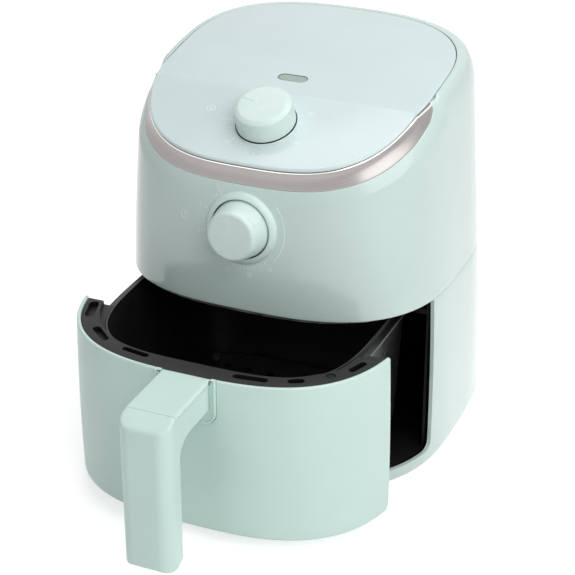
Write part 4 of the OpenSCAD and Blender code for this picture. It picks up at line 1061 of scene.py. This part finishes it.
def make_handle():
    """One smooth form, split at fine seams into the grip's moulding and the cover on the neck."""
    form = bmesh.new()
    for node in ("handle_grip", "handle_cover"):
        form.from_mesh(frame["nodes"][node].data)
    whole = bpy.data.meshes.new("handle")
    form.to_mesh(whole)
    form.free()
    obj = added("handle", whole)
    remesh = obj.modifiers.new("remesh", "REMESH")
    remesh.mode = "VOXEL"
    remesh.voxel_size = HANDLE_GRAIN * MM
    ease = obj.modifiers.new("ease", "SMOOTH")
    ease.factor, ease.iterations = 0.5, 14
    evaluated(obj)
    seam, face, back = (DRAWER_Y - reach for reach in (SEAM_FACE, NECK_FACE, POCKET_FACE))
    low, past = DRAWER_TOP - COVER, 5
    for v in obj.data.vertices:
        if v.co.z < low * MM and v.co.y > (face - 0.7) * MM:
            v.co.y += PLATE_SINK * MM
    cover_data = obj.data.copy()
    cut(obj, box(seam - GROOVE, back + past, low - GROOVE, DRAWER_TOP + past))
    piece("grip", obj.data, "drawer", MINT_SATIN, ["handle_grip"], sharp=45)
    bpy.data.objects.remove(obj)
    cover = piece("neck_cover", cover_data, "drawer", MINT_SATIN, ["handle_cover"],
                  sharp=45)
    cut(cover, box(seam + GROOVE, back - 0.1, low + GROOVE, DRAWER_TOP + past), "INTERSECT", 45)


make_upper_housing()
make_lower_housing()
make_lid()
make_band()
make_lid_gap_shade()
make_timer_bezel()
make_temperature_ring()
make_window()
make_knob("dial_cap_front", TIMER_KNOB_RADIUS, TIMER_KNOB_LENGTH, taper=3, drop=0.2, edge=4.6, soft=1.6,
          place=TIMER, body="timer_dial", node="timer_knob")
make_knob("dial_cap_top", DECK_KNOB_RADIUS, DECK_KNOB_LENGTH, taper=0.7, drop=0.6, edge=3.7, soft=0.7,
          place=DECK, body="temperature_dial", node="temperature_knob")
make_pointers()
make_marks()
make_drawer_front()
make_pan()
make_drawer_rim()
make_handle_plate()
make_handle()

# ---- Floor, light and camera ----

FLOOR_HALF, FLOOR_GLOW, AMBIENT = 4, 0.6, 0.17

# Each lamp's name, place, target, size and power

LAMPS = (
    ("top", (0.15, 0.25, 1.5), (0, 0, 0.15), (1.2, 1.2), 9.2),
    ("right", (1.25, -0.4, 0.95), (0, 0, 0.15), (1.3, 1.5), 10.0),
    ("key", (0.8, -1.0, 1.2), (0, 0, 0.15), (0.7, 0.8), 6.1),
    ("front", (-0.5, -1.6, 0.9), (0, 0, 0.12), (1.0, 0.8), 3.0),
    ("crease", (-0.445, 0.62, 1.32), (0, 0, 0.25), (0.35, 0.05), 0.7),
)

# The viewpoint: degrees round to the right and up, then the aim and the distance in millimetres

AROUND, ABOVE = 23.2, 27.2
AIM_RIGHT, AIM_UP, AIM_HEIGHT, DISTANCE = -15.4, -43.0, 140, 1189
LENS_LENGTH, SENSOR_WIDTH = 106.4, 36


def seen_rays(tree):
    """1 for rays from the camera, straight or by way of a mirror or glass, and 0 for the others."""
    path = tree.nodes.new("ShaderNodeLightPath").outputs
    seen = path["Is Camera Ray"]
    for name in ("Is Glossy Ray", "Is Transmission Ray"):
        both = tree.nodes.new("ShaderNodeMath")
        both.operation = "MAXIMUM"
        tree.links.new(seen, both.inputs[0])
        tree.links.new(path[name], both.inputs[1])
        seen = both.outputs[0]
    return seen


def make_floor():
    data = bpy.data.meshes.new("floor")
    low, high = -FLOOR_HALF, FLOOR_HALF
    data.from_pydata([(low, low, 0), (high, low, 0), (high, high, 0), (low, high, 0)], [], [(0, 1, 2, 3)])
    obj = added("floor", data)
    f = Finish("floor_paint")
    f.set("Roughness", 0.9).set("Specular IOR Level", 0.1)
    tone = f.ramp(f.noise(2, 2), [(0.3, linear(236, 237, 237)), (0.7, linear(240, 240, 240))])
    f.link(tone, "Base Color")
    glow = f.node("ShaderNodeMath", [(0, seen_rays(f.tree)), (1, FLOOR_GLOW)], operation="MULTIPLY")
    f.set("Emission Color", (1, 1, 1, 1))
    f.link(glow.outputs[0], "Emission Strength")
    data.materials.append(f.material)


def make_world():
    world = bpy.data.worlds.new("studio")
    bpy.context.scene.world = world
    world.use_nodes = True
    nodes, links = world.node_tree.nodes, world.node_tree.links
    nodes.clear()
    ambient, white = nodes.new("ShaderNodeBackground"), nodes.new("ShaderNodeBackground")
    ambient.inputs["Color"].default_value = linear(246, 249, 255)
    ambient.inputs["Strength"].default_value = AMBIENT
    white.inputs["Color"].default_value = (1, 1, 1, 1)
    blend = nodes.new("ShaderNodeMixShader")
    links.new(seen_rays(world.node_tree), blend.inputs[0])
    links.new(ambient.outputs[0], blend.inputs[1])
    links.new(white.outputs[0], blend.inputs[2])
    links.new(blend.outputs[0], nodes.new("ShaderNodeOutputWorld").inputs[0])


def make_lamp(name, place, target, size, power):
    light = bpy.data.lights.new(name, "AREA")
    light.shape = "RECTANGLE"
    light.size, light.size_y = size
    light.energy = power
    obj = added(name, light)
    obj.location = place
    obj.rotation_euler = (Vector(target) - Vector(place)).to_track_quat("-Z", "Y").to_euler()


def make_camera():
    """The photograph's viewpoint."""
    az, el = math.radians(AROUND), math.radians(ABOVE)
    right = Vector((math.cos(az), math.sin(az), 0))
    ahead = Vector((-math.sin(az) * math.cos(el), math.cos(az) * math.cos(el), -math.sin(el)))
    up = right.cross(ahead)
    place = right * AIM_RIGHT + up * AIM_UP - ahead * DISTANCE + Vector((0, HOUSING_Y, AIM_HEIGHT))
    data = bpy.data.cameras.new("camera")
    data.lens, data.sensor_width = LENS_LENGTH, SENSOR_WIDTH
    obj = added("camera", data)
    turn = Matrix((right, up, -ahead)).transposed().to_4x4()
    obj.matrix_world = Matrix.Translation(place * MM) @ turn
    bpy.context.scene.camera = obj


make_floor()
make_world()
for lamp in LAMPS:
    make_lamp(*lamp)
make_camera()
bpy.context.scene.view_settings.view_transform = "Standard"
